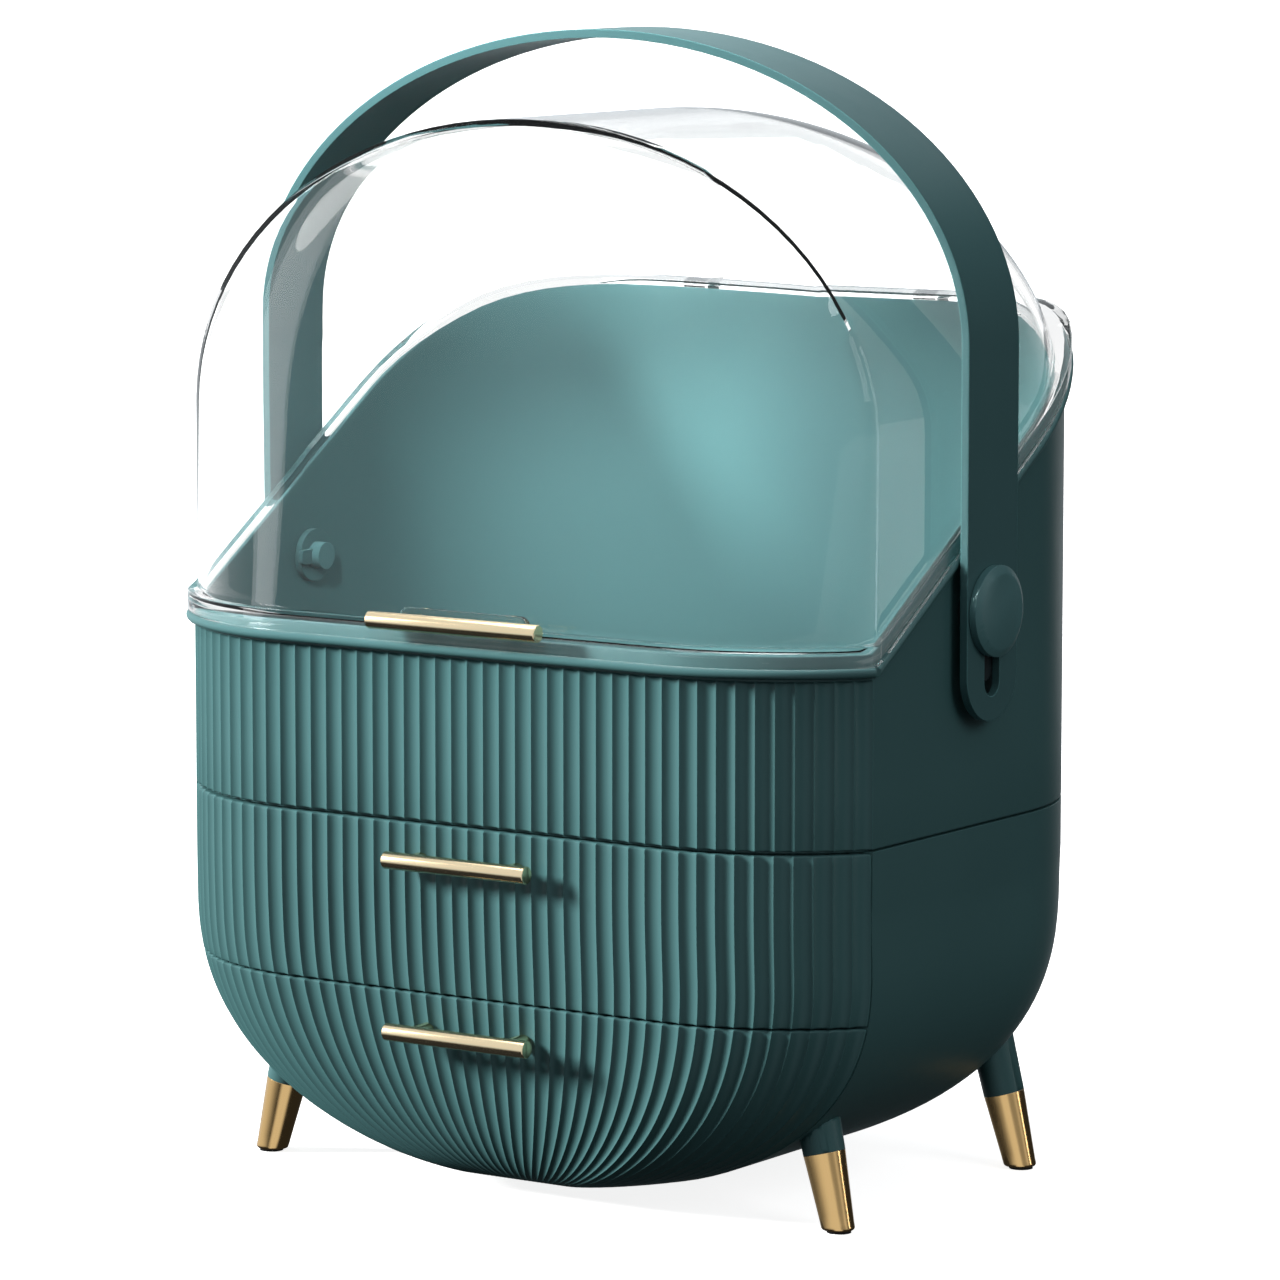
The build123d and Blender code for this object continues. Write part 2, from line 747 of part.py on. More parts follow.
def make_lid():
    # Dome on a flange that stands on the rim, with the tab of its bar and two hinge eyes
    web_low = lid_flange_height - lid_web_thickness
    sides, roof = dome_volumes(0.0)
    above_rim = side_region(rim_rear_height, web_low)
    lid = (sides & above_rim) + (roof & above_rim)
    lid = lid + rim_ring(-lid_flange_projection, rear_inset + lid_wall, web_low, lid_flange_height)
    lid = hollowed(lid, dome_volumes(lid_wall))
    lid = lid + rim_ring(-lid_flange_projection, 0.0, lid_rest_gap, lid_flange_height)
    tab = block((-tab_half_width, -lid_flange_projection, rim_front_height + lid_flange_height - cut_margin),
                (tab_half_width, 0, tab_top))
    lid = lid + tab.fillet(tab_corner_radius, tab.edges().filter_by(Axis.Y).group_by(Axis.Z)[-1])
    arm_top = rim_rear_height + lid_flange_height
    for side in (-1, 1):
        lid = lid - cylinder((side * lid_bar_post_x, -lid_flange_projection - cut_margin, lid_bar_height),
                             (side * lid_bar_post_x, 0, lid_bar_height), lid_bar_spigot_radius + press_gap)
        low_x = side * hinge_x - hinge_eye_width / 2
        high_x = low_x + hinge_eye_width
        lid = lid + block((low_x, body_depth + lid_flange_projection / 2, rim_rear_height + hinge_arm_lift),
                          (high_x, hinge_y + hinge_eye_radius, arm_top))
        lid = lid + block((low_x, hinge_y, hinge_z), (high_x, hinge_y + hinge_eye_radius, arm_top))
        lid = lid + cylinder((low_x, hinge_y, hinge_z), (high_x, hinge_y, hinge_z), hinge_eye_radius)
        lid = lid - cylinder((low_x - cut_margin, hinge_y, hinge_z), (high_x + cut_margin, hinge_y, hinge_z),
                             hinge_pin_radius + pivot_gap)
    return lid


def make_bracket():
    # Right bracket: plate on the rear wall, two lugs that carry the hinge pin
    lug_start = hinge_eye_width / 2 + slide_gap
    plate_half = lug_start + bracket_lug_width + bracket_plate_margin
    plate_top = rim_rear_height - bracket_plate_drop
    plate_low = plate_top - bracket_plate_height
    bracket = block((hinge_x - plate_half, body_depth, plate_low),
                    (hinge_x + plate_half, body_depth + bracket_plate_thickness, plate_top))
    bracket = bracket.fillet(bracket_plate_thickness, bracket.edges().filter_by(Axis.Y))
    under_eye = hinge_z - hinge_eye_radius * bracket_lug_low_share
    for low_x in (hinge_x - lug_start - bracket_lug_width, hinge_x + lug_start):
        profile = Wire.make_polygon([
            (low_x, body_depth, plate_low + bracket_plate_thickness),
            (low_x, hinge_y + hinge_eye_radius * bracket_lug_rear_share, under_eye),
            (low_x, hinge_y - hinge_eye_radius * bracket_lug_front_share, under_eye),
            (low_x, body_depth + bead_projection + slide_gap, plate_top),
            (low_x, body_depth, plate_top)])
        bracket = bracket + Solid.extrude(Face(profile), Vector(bracket_lug_width, 0, 0))
        bracket = bracket + cylinder((low_x, hinge_y, hinge_z),
                                     (low_x + bracket_lug_width, hinge_y, hinge_z), hinge_eye_radius)
    bracket = bracket - cylinder((hinge_x - plate_half, hinge_y, hinge_z),
                                 (hinge_x + plate_half, hinge_y, hinge_z), hinge_pin_radius + press_gap)
    for x, height in bracket_screw_points():
        bracket = bracket - cylinder((x, body_depth - cut_margin, height),
                                     (x, body_depth + bracket_plate_thickness + cut_margin, height),
                                     screw_radius + screw_hole_gap)
    return bracket


def make_hinge_pin():
    reach = hinge_eye_width / 2 + slide_gap + bracket_lug_width
    end = (hinge_x + reach, hinge_y, hinge_z)
    pin = cylinder((hinge_x - reach - pivot_gap, hinge_y, hinge_z), end, hinge_pin_radius)
    return pin + cylinder(end, (hinge_x + reach + hinge_pin_radius, hinge_y, hinge_z), hinge_pin_head_radius)


def make_handle():
    # Flat band bent into an arch; its legs end round and have a slot each
    leg_end = pivot_height - handle_leg_end_drop
    low_y = handle_centre_y - handle_width / 2
    reach = handle_outer_half + beyond

    def arch(half, top):
        plane = Plane(origin=(0, low_y, handle_spring_height), x_dir=(1, 0, 0), z_dir=(0, -1, 0))
        curve = Edge.make_ellipse(half, top - handle_spring_height, plane, 0, 180)
        corners = [(half, low_y, handle_spring_height), (half, low_y, leg_end),
                   (-half, low_y, leg_end), (-half, low_y, handle_spring_height)]
        lines = [Edge.make_line(a, b) for a, b in zip(corners, corners[1:])]
        return Solid.extrude(Face(Wire([curve] + lines)), Vector(0, handle_width, 0))

    def across(z, radius):
        return cylinder((-reach, handle_centre_y, z), (reach, handle_centre_y, z), radius)

    band = arch(handle_outer_half, handle_top)
    band = band - arch(handle_outer_half - handle_thickness, handle_top - handle_thickness)
    round_z = leg_end + handle_width / 2
    keep = block((-reach, low_y, round_z), (reach, low_y + handle_width, handle_top + beyond))
    band = band & (keep + across(round_z, handle_width / 2))
    slot_half = stem_radius + pivot_gap
    slot_low = pivot_height - handle_lift
    slot = block((-reach, handle_centre_y - slot_half, slot_low),
                 (reach, handle_centre_y + slot_half, pivot_height))
    return band - (slot + across(slot_low, slot_half) + across(pivot_height, slot_half))


def make_knob():
    # Right knob with its stem; a flat clip through the stem's tail holds it
    base_x = handle_outer_half + slide_gap
    chamfer_x = base_x + knob_thickness - knob_chamfer
    y = handle_centre_y
    knob = cylinder((base_x, y, pivot_height), (chamfer_x, y, pivot_height), knob_radius)
    knob = knob + cylinder((chamfer_x, y, pivot_height), (base_x + knob_thickness, y, pivot_height),
                           knob_radius, knob_face_radius)
    knob = knob + cylinder((clip_inner_x - stem_tail / 2, y, pivot_height), (base_x, y, pivot_height),
                           stem_radius)
    slot_half = clip_width / 2 + press_gap
    return knob - block((clip_inner_x - press_gap, y - beyond, pivot_height - slot_half),
                        (clip_outer_x + press_gap, y + beyond, pivot_height + slot_half))


def make_collar():
    start = (clip_outer_x, handle_centre_y, pivot_height)
    end = (collar_outer_x, handle_centre_y, pivot_height)
    return cylinder(start, end, collar_radius) - cylinder(start, end, stem_radius + press_gap)


def make_clip():
    clip = block((clip_inner_x, handle_centre_y - clip_half_length, pivot_height - clip_width / 2),
                 (clip_outer_x, handle_centre_y + clip_half_length, pivot_height + clip_width / 2))
    return clip.fillet(clip_width * 0.3, clip.edges().filter_by(Axis.X))


def make_spacer():
    # Disc round the pivot with a small boss below it, between the wall and the handle's leg
    start = body_half_width
    end = handle_outer_half - handle_thickness - slide_gap
    y = handle_centre_y
    boss_z = pivot_height - lower_boss_drop
    spacer = cylinder((start, y, pivot_height), (end, y, pivot_height), spacer_radius)
    spacer = spacer + cylinder((start, y, boss_z), (end, y, boss_z), lower_boss_radius)
    spacer = spacer + block((start, y - lower_boss_radius / 2, boss_z),
                            ((start + end) / 2, y + lower_boss_radius / 2, pivot_height))
    return spacer - cylinder((start, y, pivot_height), (end, y, pivot_height), stem_radius + pivot_gap)


def make_leg_set(foot, tilt, outside, shell):
    # Teal leg, metal ferrule, rubber pad and the screw from inside the casing
    ground = Vector(foot[0], foot[1], 0)
    axis = Vector(-tan(radians(leg_splay)), tan(radians(tilt)), 1)

    def along(low, high, radius, end_radius=None):
        return cylinder(tuple(ground + axis * low), tuple(ground + axis * high), radius, end_radius)

    base = pad_projection + ferrule_bottom_radius * tan(radians(leg_splay))
    split = base + ferrule_length

    def below(height):
        return block((foot[0] - beyond, foot[1] - beyond, -beyond), (foot[0] + beyond, foot[1] + beyond, height))

    ferrule = along(base, split, ferrule_bottom_radius, ferrule_top_radius)
    ferrule = ferrule + along(-base, base, ferrule_bottom_radius) - below(pad_projection)
    lower_rim = ferrule.edges().group_by(Axis.Z)[0]
    ferrule = ferrule.fillet(ferrule_round, lower_rim)
    tenon = along(split - tenon_length, split, tenon_radius)
    pad = along(-pad_height, base + pad_height, pad_radius)
    ferrule = ferrule - tenon - pad
    pad = pad - below(0)
    leg = (along(split, leg_reach, ferrule_top_radius, leg_top_radius) - outside).solids().sort_by(Axis.Z)[0]
    crossing = (along(split, leg_reach, screw_radius / 2) & shell).solids().sort_by(Axis.Z)[0]
    seat_height = crossing.bounding_box().max.Z - leg_screw_sink
    screw = round_screw(tuple(ground + axis * seat_height), tuple(-axis), leg_screw_length, leg_screw_radius,
                        leg_screw_head_radius, leg_screw_head_height)
    bore = along(seat_height - leg_screw_length - screw_point_gap, seat_height,
                 leg_screw_radius + press_gap)
    room = along(seat_height, seat_height + leg_screw_room, leg_screw_head_radius + slide_gap)
    return leg + tenon - bore, ferrule, pad, screw, bore + room


def build_cabinet():
    inside = inside_volumes(shell_wall)
    outside = bowl_loft(outline, body_bottom, end_bowl_start, 9)
    bare_shell = make_shell(inside)
    shell = bare_shell
    pads = []
    leg_screws = []
    for name, foot, tilt in (("front", (front_foot_x, front_foot_y), leg_tilt),
                             ("rear", (rear_foot_x, rear_foot_y), -leg_tilt)):
        leg, ferrule, pad, screw, cut = make_leg_set(foot, tilt, outside, bare_shell)
        for side, place in (("right", lambda solid: solid), ("left", mirrored)):
            save(f"{name}_{side}_leg", place(leg))
            save(f"{name}_{side}_ferrule", place(ferrule))
            pads.append(place(pad))
            leg_screws.append(place(screw))
            shell = shell - place(cut)
    save("foot_pads", *pads)
    save("leg_screws", *leg_screws)
    save("lower_shell", shell)
    for name, low, points in (("base_deck", base_deck_low, post_points()),
                              ("middle_shelf", middle_shelf_low, ledge_screw_points(middle_shelf_low))):
        plate = make_plate(low, inside)
        top = low + plate_thickness
        screws = []
        for x, y in points:
            plate = plate - flat_screw_hole(x, y, top, plate_thickness + cut_margin)
            screws.append(flat_screw(x, y, top, plate_screw_length))
        save(name, plate)
        save(f"{name}_screws", *screws)
    deck = make_plate(top_deck_low, inside)
    tray_screws = []
    for x, y in ledge_screw_points(top_deck_low):
        seat = top_deck_low - ledge_height
        deck = deck - cylinder((x, y, seat), (x, y, cabinet_top + cut_margin),
                               screw_radius + screw_hole_gap)
        tray_screws.append(round_screw((x, y, seat), (0, 0, 1), cabinet_top + tray_screw_bite - seat))
    save("top_deck", deck)
    save("tray_screws", *tray_screws)


def build_drawers():
    inside = inside_volumes(front_wall)
    Drawer("upper", drawer_seam_height + seam_gap / 2, cabinet_top - seam_gap, 5, upper_box_bottom,
           upper_box_top, middle_shelf_low, top_deck_low, upper_bar_height, upper_front_screw_x,
           upper_front_screw_height, upper_travel, upper_guide_length).build(inside)
    Drawer("lower", body_bottom, drawer_seam_height - seam_gap / 2, 8, lower_box_bottom,
           lower_box_top, base_deck_low, middle_shelf_low, lower_bar_height, lower_front_screw_x,
           lower_front_screw_height, lower_travel, lower_guide_length).build(inside)


def build_top():
    save("upper_tray", make_tray())
    save("clear_lid", make_lid())
    save("lid_bar", make_lid_bar())
    bracket = make_bracket()
    save("right_hinge_bracket", bracket)
    save("left_hinge_bracket", mirrored(bracket))
    save("hinge_pins", *both_sides(make_hinge_pin()))
    seat_y = body_depth + bracket_plate_thickness
    screws = [round_screw((x, seat_y, height), (0, -1, 0), bracket_screw_length)
              for x, height in bracket_screw_points()]
    save("bracket_screws", *[solid for screw in screws for solid in both_sides(screw)])


def build_handle():
    save("carry_handle", make_handle())
    for piece, maker in (("knob", make_knob), ("collar", make_collar), ("clip", make_clip),
                         ("spacer", make_spacer)):
        solid = maker()
        save(f"right_pivot_{piece}", solid)
        save(f"left_pivot_{piece}", mirrored(solid))


build_cabinet()
build_drawers()
build_top()
build_handle()
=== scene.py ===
import json
from functools import partial
from math import asin, atan2, cos, pi, radians, sin, sqrt, tan

import bmesh
import bpy
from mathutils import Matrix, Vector

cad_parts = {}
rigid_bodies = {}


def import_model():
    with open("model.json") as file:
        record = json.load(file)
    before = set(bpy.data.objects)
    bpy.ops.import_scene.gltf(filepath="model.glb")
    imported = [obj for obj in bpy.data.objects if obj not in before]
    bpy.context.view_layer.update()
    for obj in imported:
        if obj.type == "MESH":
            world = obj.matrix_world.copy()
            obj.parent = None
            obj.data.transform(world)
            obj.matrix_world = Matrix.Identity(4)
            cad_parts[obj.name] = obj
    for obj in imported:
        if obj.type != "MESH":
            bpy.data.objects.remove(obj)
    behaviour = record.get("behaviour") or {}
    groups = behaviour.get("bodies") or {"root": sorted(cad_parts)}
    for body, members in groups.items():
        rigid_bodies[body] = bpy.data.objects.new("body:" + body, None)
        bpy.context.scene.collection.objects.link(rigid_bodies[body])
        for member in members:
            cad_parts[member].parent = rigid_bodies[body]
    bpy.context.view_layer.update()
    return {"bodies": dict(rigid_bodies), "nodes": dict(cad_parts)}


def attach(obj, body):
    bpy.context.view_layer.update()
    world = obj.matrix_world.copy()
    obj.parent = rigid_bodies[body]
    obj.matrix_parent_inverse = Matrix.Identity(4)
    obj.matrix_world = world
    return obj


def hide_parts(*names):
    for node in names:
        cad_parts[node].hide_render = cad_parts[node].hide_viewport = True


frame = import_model()
scene = bpy.context.scene
mm = 0.001
midDepth = 102.35 * mm  # front face of the box to the frame's middle
print("frame loaded:", len(frame["nodes"]), "nodes")


def addObject(name, data):
    made = bpy.data.objects.new(name, data)
    scene.collection.objects.link(made)
    return made


def openMesh(*meshes):
    work = bmesh.new()
    for mesh in meshes:
        work.from_mesh(mesh)
    return work


def closeMesh(work, mesh):
    work.to_mesh(mesh)
    work.free()
    return mesh


# node helpers
def fill(tree, node, inputs):
    for key, value in inputs.items():
        if isinstance(value, bpy.types.NodeSocket):
            tree.links.new(value, node.inputs[key])
        else:
            node.inputs[key].default_value = value
    return node


def addNode(tree, kind, inputs=None, **settings):
    node = tree.nodes.new(kind)
    for name, value in settings.items():
        setattr(node, name, value)
    return fill(tree, node, inputs or {})


def calc(tree, operation, *values):
    return addNode(tree, "ShaderNodeMath", dict(enumerate(values)), operation=operation).outputs[0]


def operators(tree, *operations):
    return [partial(calc, tree, operation) for operation in operations]


def dot(tree, first, second):
    node = addNode(tree, "ShaderNodeVectorMath", {0: first, 1: second}, operation="DOT_PRODUCT")
    return node.outputs["Value"]


def blend(tree, factor, first, second, kind="FLOAT"):
    node = addNode(tree, "ShaderNodeMix", {"Factor": factor, "A": first, "B": second}, data_type=kind)
    return node.outputs["Result"]


def blendColour(tree, factor, *colours):
    first, second = [(*colour, 1.0) if isinstance(colour, tuple) else colour for colour in colours]
    return blend(tree, factor, first, second, "RGBA")


def mapRange(tree, value, fromRange, toRange=(0.0, 1.0), kind="LINEAR"):
    ends = dict(zip(("From Min", "From Max", "To Min", "To Max"), (*fromRange, *toRange)))
    return addNode(tree, "ShaderNodeMapRange", {"Value": value, **ends}, interpolation_type=kind).outputs[0]


def noise(tree, vector, scale, detail, roughness=0.5):
    return addNode(tree, "ShaderNodeTexNoise", {
        "Vector": vector, "Scale": scale, "Detail": detail, "Roughness": roughness}).outputs["Fac"]


def newGroup(name, kind, inputs, outputs):
    # an input is given by its first value, or by its kind in words when it has none
    tree = bpy.data.node_groups.new(name, kind)
    kinds = {float: "Float", int: "Int", tuple: "Vector"}
    for socketName, value in inputs.items():
        hasValue = not isinstance(value, str)
        socketKind = "NodeSocket" + (kinds[type(value)] if hasValue else value)
        socket = tree.interface.new_socket(socketName, in_out="INPUT", socket_type=socketKind)
        if hasValue:
            socket.default_value = value
    for socketName, value in outputs.items():
        tree.interface.new_socket(socketName, in_out="OUTPUT", socket_type="NodeSocket" + value)
    return tree, tree.nodes.new("NodeGroupInput").outputs, tree.nodes.new("NodeGroupOutput").inputs


# shared shader effects
def makeMouldGrain():
    # fine moulding texture over a slow swell, with a mask for uneven gloss
    tree, given, out = newGroup("mouldGrain", "ShaderNodeTree", {
        "Vector": "Vector", "Grain Scale": 2600.0, "Swell Scale": 14.0, "Swell Share": 0.5},
        {"Height": "Float", "Mask": "Float"})
    fine = noise(tree, given["Vector"], given["Grain Scale"], detail=3.0, roughness=0.6)
    swell = noise(tree, given["Vector"], given["Swell Scale"], detail=2.0, roughness=0.45)
    tree.links.new(blend(tree, given["Swell Share"], fine, swell), out["Height"])
    tree.links.new(swell, out["Mask"])
    return tree


def makeSoftEdge():
    # rounds the shading at edges and marks them for a painted edge highlight and edge polish
    edgeRange = (0.004, 0.12)
    tree, given, out = newGroup("softEdge", "ShaderNodeTree", {"Radius": 0.0004},
                                {"Normal": "Vector", "Mask": "Float"})
    rounded = addNode(tree, "ShaderNodeBevel", {"Radius": given["Radius"]}, samples=4).outputs[0]
    straight = tree.nodes.new("ShaderNodeNewGeometry").outputs["Normal"]
    bend = calc(tree, "SUBTRACT", 1.0, dot(tree, rounded, straight))
    tree.links.new(rounded, out["Normal"])
    tree.links.new(mapRange(tree, bend, edgeRange), out["Mask"])
    return tree


def makeSmudge():
    # faint handling marks: soft patches and hair-fine scratches
    marks = {"patchRange": (0.45, 0.75), "scratchRange": (0.66, 0.74), "scratchShare": 0.5,
             "scratchTurn": (0.4, 0.9, 0.3), "scratchStretch": (1.0, 14.0, 1.0)}
    tree, given, out = newGroup("smudge", "ShaderNodeTree", {
        "Vector": "Vector", "Patch Scale": 30.0, "Scratch Scale": 160.0}, {"Mask": "Float"})
    patch = noise(tree, given["Vector"], given["Patch Scale"], detail=5.0, roughness=0.65)
    stretched = addNode(tree, "ShaderNodeMapping", {
        "Vector": given["Vector"], "Rotation": marks["scratchTurn"], "Scale": marks["scratchStretch"]})
    lines = noise(tree, stretched.outputs[0], given["Scratch Scale"], detail=2.0)
    thin = calc(tree, "MULTIPLY", mapRange(tree, lines, marks["scratchRange"]), marks["scratchShare"])
    total = calc(tree, "ADD", mapRange(tree, patch, marks["patchRange"]), thin)
    tree.links.new(total, out["Mask"])
    return tree


def makeBrushing():
    # fine lines along one axis, as on drawn and turned metal
    tree, given, out = newGroup("brushing", "ShaderNodeTree", {
        "Vector": "Vector", "Stretch": (1.0, 1.0, 1.0), "Line Scale": 900.0}, {"Height": "Float"})
    stretched = addNode(
        tree, "ShaderNodeVectorMath", {0: given["Vector"], 1: given["Stretch"]}, operation="MULTIPLY")
    lines = noise(tree, stretched.outputs[0], given["Line Scale"], detail=4.0, roughness=0.7)
    tree.links.new(lines, out["Height"])
    return tree


mouldGrain, softEdge, smudge, brushing = makeMouldGrain(), makeSoftEdge(), makeSmudge(), makeBrushing()


# materials
def startMaterial(name):
    material = bpy.data.materials.new(name)
    material.use_nodes = True
    tree = material.node_tree
    tree.nodes.clear()
    surface = tree.nodes.new("ShaderNodeBsdfPrincipled")
    addNode(tree, "ShaderNodeOutputMaterial", {"Surface": surface.outputs[0]})
    return material, tree, surface, tree.nodes.new("ShaderNodeTexCoord").outputs["Object"]


def useGroup(tree, group, inputs):
    return addNode(tree, "ShaderNodeGroup", inputs, node_tree=group).outputs


def useSmudge(tree, coords, look):
    return useGroup(tree, smudge, {
        "Vector": coords, "Patch Scale": look["patchScale"], "Scratch Scale": look["scratchScale"]})["Mask"]


def makeSolid(name, look, pattern):
    # two shades by the pattern's mask, a painted highlight and smoother gloss on the edges, smudged gloss,
    # fine relief
    material, tree, surface, coords = startMaterial(name)
    height, mask = pattern(tree, coords, look)
    edge = useGroup(tree, softEdge, {"Radius": look["edgeRadius"]})
    marks = useSmudge(tree, coords, look)
    shade = blendColour(tree, mask, *look["shades"])
    # painted highlight: edges blended towards a lighter colour
    paintedEdgeHighlight = calc(tree, "MULTIPLY", edge["Mask"], look["edgeWear"])
    gloss = mapRange(tree, mask, (0.0, 1.0), [look["roughness"] + step for step in look["glossSpread"]])
    smeared = calc(tree, "ADD", gloss, calc(tree, "MULTIPLY", marks, look["smudge"]))
    polish = calc(tree, "MULTIPLY", edge["Mask"], look["edgePolish"])
    bump = addNode(tree, "ShaderNodeBump", {
        "Height": height, "Normal": edge["Normal"], "Strength": look["bump"], "Distance": look["relief"]})
    fill(tree, surface, {
        "Base Color": blendColour(tree, paintedEdgeHighlight, shade, look["edgeColour"]),
        "Roughness": calc(tree, "SUBTRACT", smeared, polish), "Normal": bump.outputs[0], **look["plain"]})
    return material


def grainPattern(tree, coords, look):
    grain = useGroup(tree, mouldGrain, {
        "Vector": coords, "Grain Scale": look["grainScale"], "Swell Scale": look["swellScale"],
        "Swell Share": look["swellShare"]})
    return grain["Height"], grain["Mask"]


def brushedPattern(tree, coords, look):
    lines = useGroup(tree, brushing, {
        "Vector": coords, "Stretch": look["stretch"], "Line Scale": look["lineScale"]})["Height"]
    return lines, lines


def makeClear(name, look):
    material, tree, surface, coords = startMaterial(name)
    height, mask = grainPattern(tree, coords, look)
    hazeRange = (look["roughness"], look["roughness"] + look["haze"])
    bump = addNode(tree, "ShaderNodeBump", {
        "Height": height, "Strength": look["bump"], "Distance": look["relief"]})
    fill(tree, surface, {
        "Base Color": blendColour(tree, mask, *look["shades"]),
        "Roughness": mapRange(tree, useSmudge(tree, coords, look), (0.0, 1.0), hazeRange),
        "Normal": bump.outputs[0], "Transmission Weight": 1.0, "IOR": look["ior"]})
    return material


# the edge share and edge colour paint a lighter highlight along every edge
plasticBase = {
    "edgeWear": 0.5, "edgePolish": 0.08, "roughness": 0.38, "glossSpread": (-0.05, 0.05), "smudge": 0.05,
    "patchScale": 30.0, "scratchScale": 160.0, "grainScale": 2600.0, "swellScale": 14.0,
    "swellShare": 0.35, "bump": 0.08, "relief": 0.0003, "edgeRadius": 0.0004}
plasticLook = {
    "bodyPlastic": {
        "shades": ((0.046, 0.114, 0.118), (0.051, 0.126, 0.130)), "edgeColour": (0.075, 0.22, 0.22),
        "specular": 0.24},
    "handlePlastic": {
        "shades": ((0.044, 0.108, 0.113), (0.048, 0.117, 0.123)), "edgeColour": (0.11, 0.28, 0.29),
        "edgeWear": 0.9, "specular": 0.22, "swellScale": 18.0, "bump": 0.07, "edgeRadius": 0.0006},
    # painted light: the handle's teal made lighter, for a more brightly lit knob face
    "knobPlastic": {
        "shades": ((0.066, 0.160, 0.168), (0.072, 0.172, 0.180)), "edgeColour": (0.10, 0.26, 0.27),
        "roughness": 0.4, "specular": 0.3, "swellScale": 18.0},
    # near black: partly the spacer's own dark colour, partly painted shade that darkens the slot in the
    # handle
    "darkPlastic": {
        "shades": ((0.010, 0.016, 0.018), (0.013, 0.020, 0.022)), "edgeColour": (0.02, 0.03, 0.03),
        "edgeWear": 0.3, "roughness": 0.5, "specular": 0.2, "grainScale": 2400.0, "swellScale": 20.0,
        "bump": 0.1, "edgeRadius": 0.0003},
    "innerPlastic": {
        "shades": ((0.052, 0.128, 0.132), (0.058, 0.140, 0.144)), "edgeColour": (0.08, 0.22, 0.22),
        "edgeWear": 0.3, "roughness": 0.5, "specular": 0.4, "smudge": 0.04, "grainScale": 1800.0,
        "swellScale": 20.0, "bump": 0.25, "edgeRadius": 0.0003},
    "padRubber": {
        "shades": ((0.012, 0.012, 0.013), (0.020, 0.020, 0.021)), "edgeColour": (0.05, 0.05, 0.05),
        "edgeWear": 0.3, "roughness": 0.8, "specular": 0.3, "grainScale": 1500.0, "swellScale": 60.0,
        "bump": 0.4, "edgeRadius": 0.0002}}
# the edge share and edge colour paint a lighter highlight along metal edges
metalBase = {
    "edgeColour": (0.97, 0.86, 0.66), "edgeWear": 0.5, "edgePolish": 0.0, "glossSpread": (-0.06, 0.08),
    "smudge": 0.05, "patchScale": 60.0, "scratchScale": 300.0, "relief": 0.0001, "edgeRadius": 0.0003,
    "plain": {"Metallic": 1.0}}
metalLook = {
    "goldMetal": {
        "shades": ((0.92, 0.72, 0.45), (0.95, 0.76, 0.49)), "roughness": 0.17, "bump": 0.012,
        "stretch": (0.04, 1.0, 1.0), "lineScale": 1100.0},
    "ferruleGold": {
        "shades": ((0.79, 0.49, 0.20), (0.83, 0.53, 0.23)), "roughness": 0.14, "bump": 0.010,
        "stretch": (1.0, 1.0, 0.05), "lineScale": 900.0},
    "screwSteel": {
        "shades": ((0.52, 0.53, 0.54), (0.66, 0.67, 0.68)), "edgeColour": (0.85, 0.85, 0.85),
        "roughness": 0.3, "bump": 0.2, "stretch": (1.0, 1.0, 1.0), "lineScale": 1600.0,
        "edgeRadius": 0.0001}}
clearLook = {
    "shades": ((0.985, 0.995, 0.995), (1.0, 1.0, 1.0)), "roughness": 0.0, "haze": 0.004, "ior": 1.30,
    "bump": 0.004, "relief": 0.0003, "patchScale": 18.0, "scratchScale": 220.0, "grainScale": 70.0,
    "swellScale": 9.0, "swellShare": 0.8}
finishes = {}
for name, look in plasticLook.items():
    plain = {"IOR": 1.5, "Specular IOR Level": look["specular"]}
    finishes[name] = makeSolid(name, {**plasticBase, **look, "plain": plain}, grainPattern)
for name, look in metalLook.items():
    finishes[name] = makeSolid(name, {**metalBase, **look}, brushedPattern)
finishes["clearAcrylic"] = makeClear("clearAcrylic", clearLook)
slotFinish = {"body_plastic": "bodyPlastic", "handle_plastic": "handlePlastic",
              "inner_plastic": "innerPlastic", "gold_metal": "goldMetal", "screw_steel": "screwSteel",
              "clear_acrylic": "clearAcrylic", "pad_rubber": "padRubber"}
print("materials made:", len(finishes))


# finishing CAD pieces: a merged, smooth-shaded copy stands for each visible one
cadLook = {"mergeReach": 0.000002, "flatAngle": 0.3, "smoothAngle": 30, "knobAngle": 20}


def mergedCopy(node):
    mesh = frame["nodes"][node].data.copy()
    work = openMesh(mesh)
    bmesh.ops.remove_doubles(work, verts=work.verts, dist=cadLook["mergeReach"])
    flatAngle = radians(cadLook["flatAngle"])
    bmesh.ops.dissolve_limit(work, angle_limit=flatAngle, verts=work.verts, edges=work.edges)
    return closeMesh(work, mesh)


def placePiece(name, mesh, node, finish=None):
    # stands for a CAD node, with its body and a finish, as a rule the one for the node's slot
    piece = addObject(name, mesh)
    mesh.materials.clear()
    mesh.materials.append(finishes[finish or slotFinish[slotOf[node]]])
    for face in mesh.polygons:
        face.material_index = 0
    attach(piece, bodyOf[node])
    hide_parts(node)
    return piece


def shadeSmooth(mesh, degrees):
    mesh.shade_smooth()
    mesh.set_sharp_from_angle(angle=radians(degrees))


bodyOf = {child.name: body for body, empty in frame["bodies"].items() for child in empty.children}
slotOf = {}
for name, node in frame["nodes"].items():
    slotOf[name] = node.data.materials[0].name.split(".")[0]
    node.data.materials.clear()
    node.data.materials.append(finishes[slotFinish[slotOf[name]]])

remade = ("upper_tray", "upper_drawer_front", "lower_drawer_front", "clear_lid",
          "upper_drawer_bar", "lower_drawer_bar", "lid_bar")
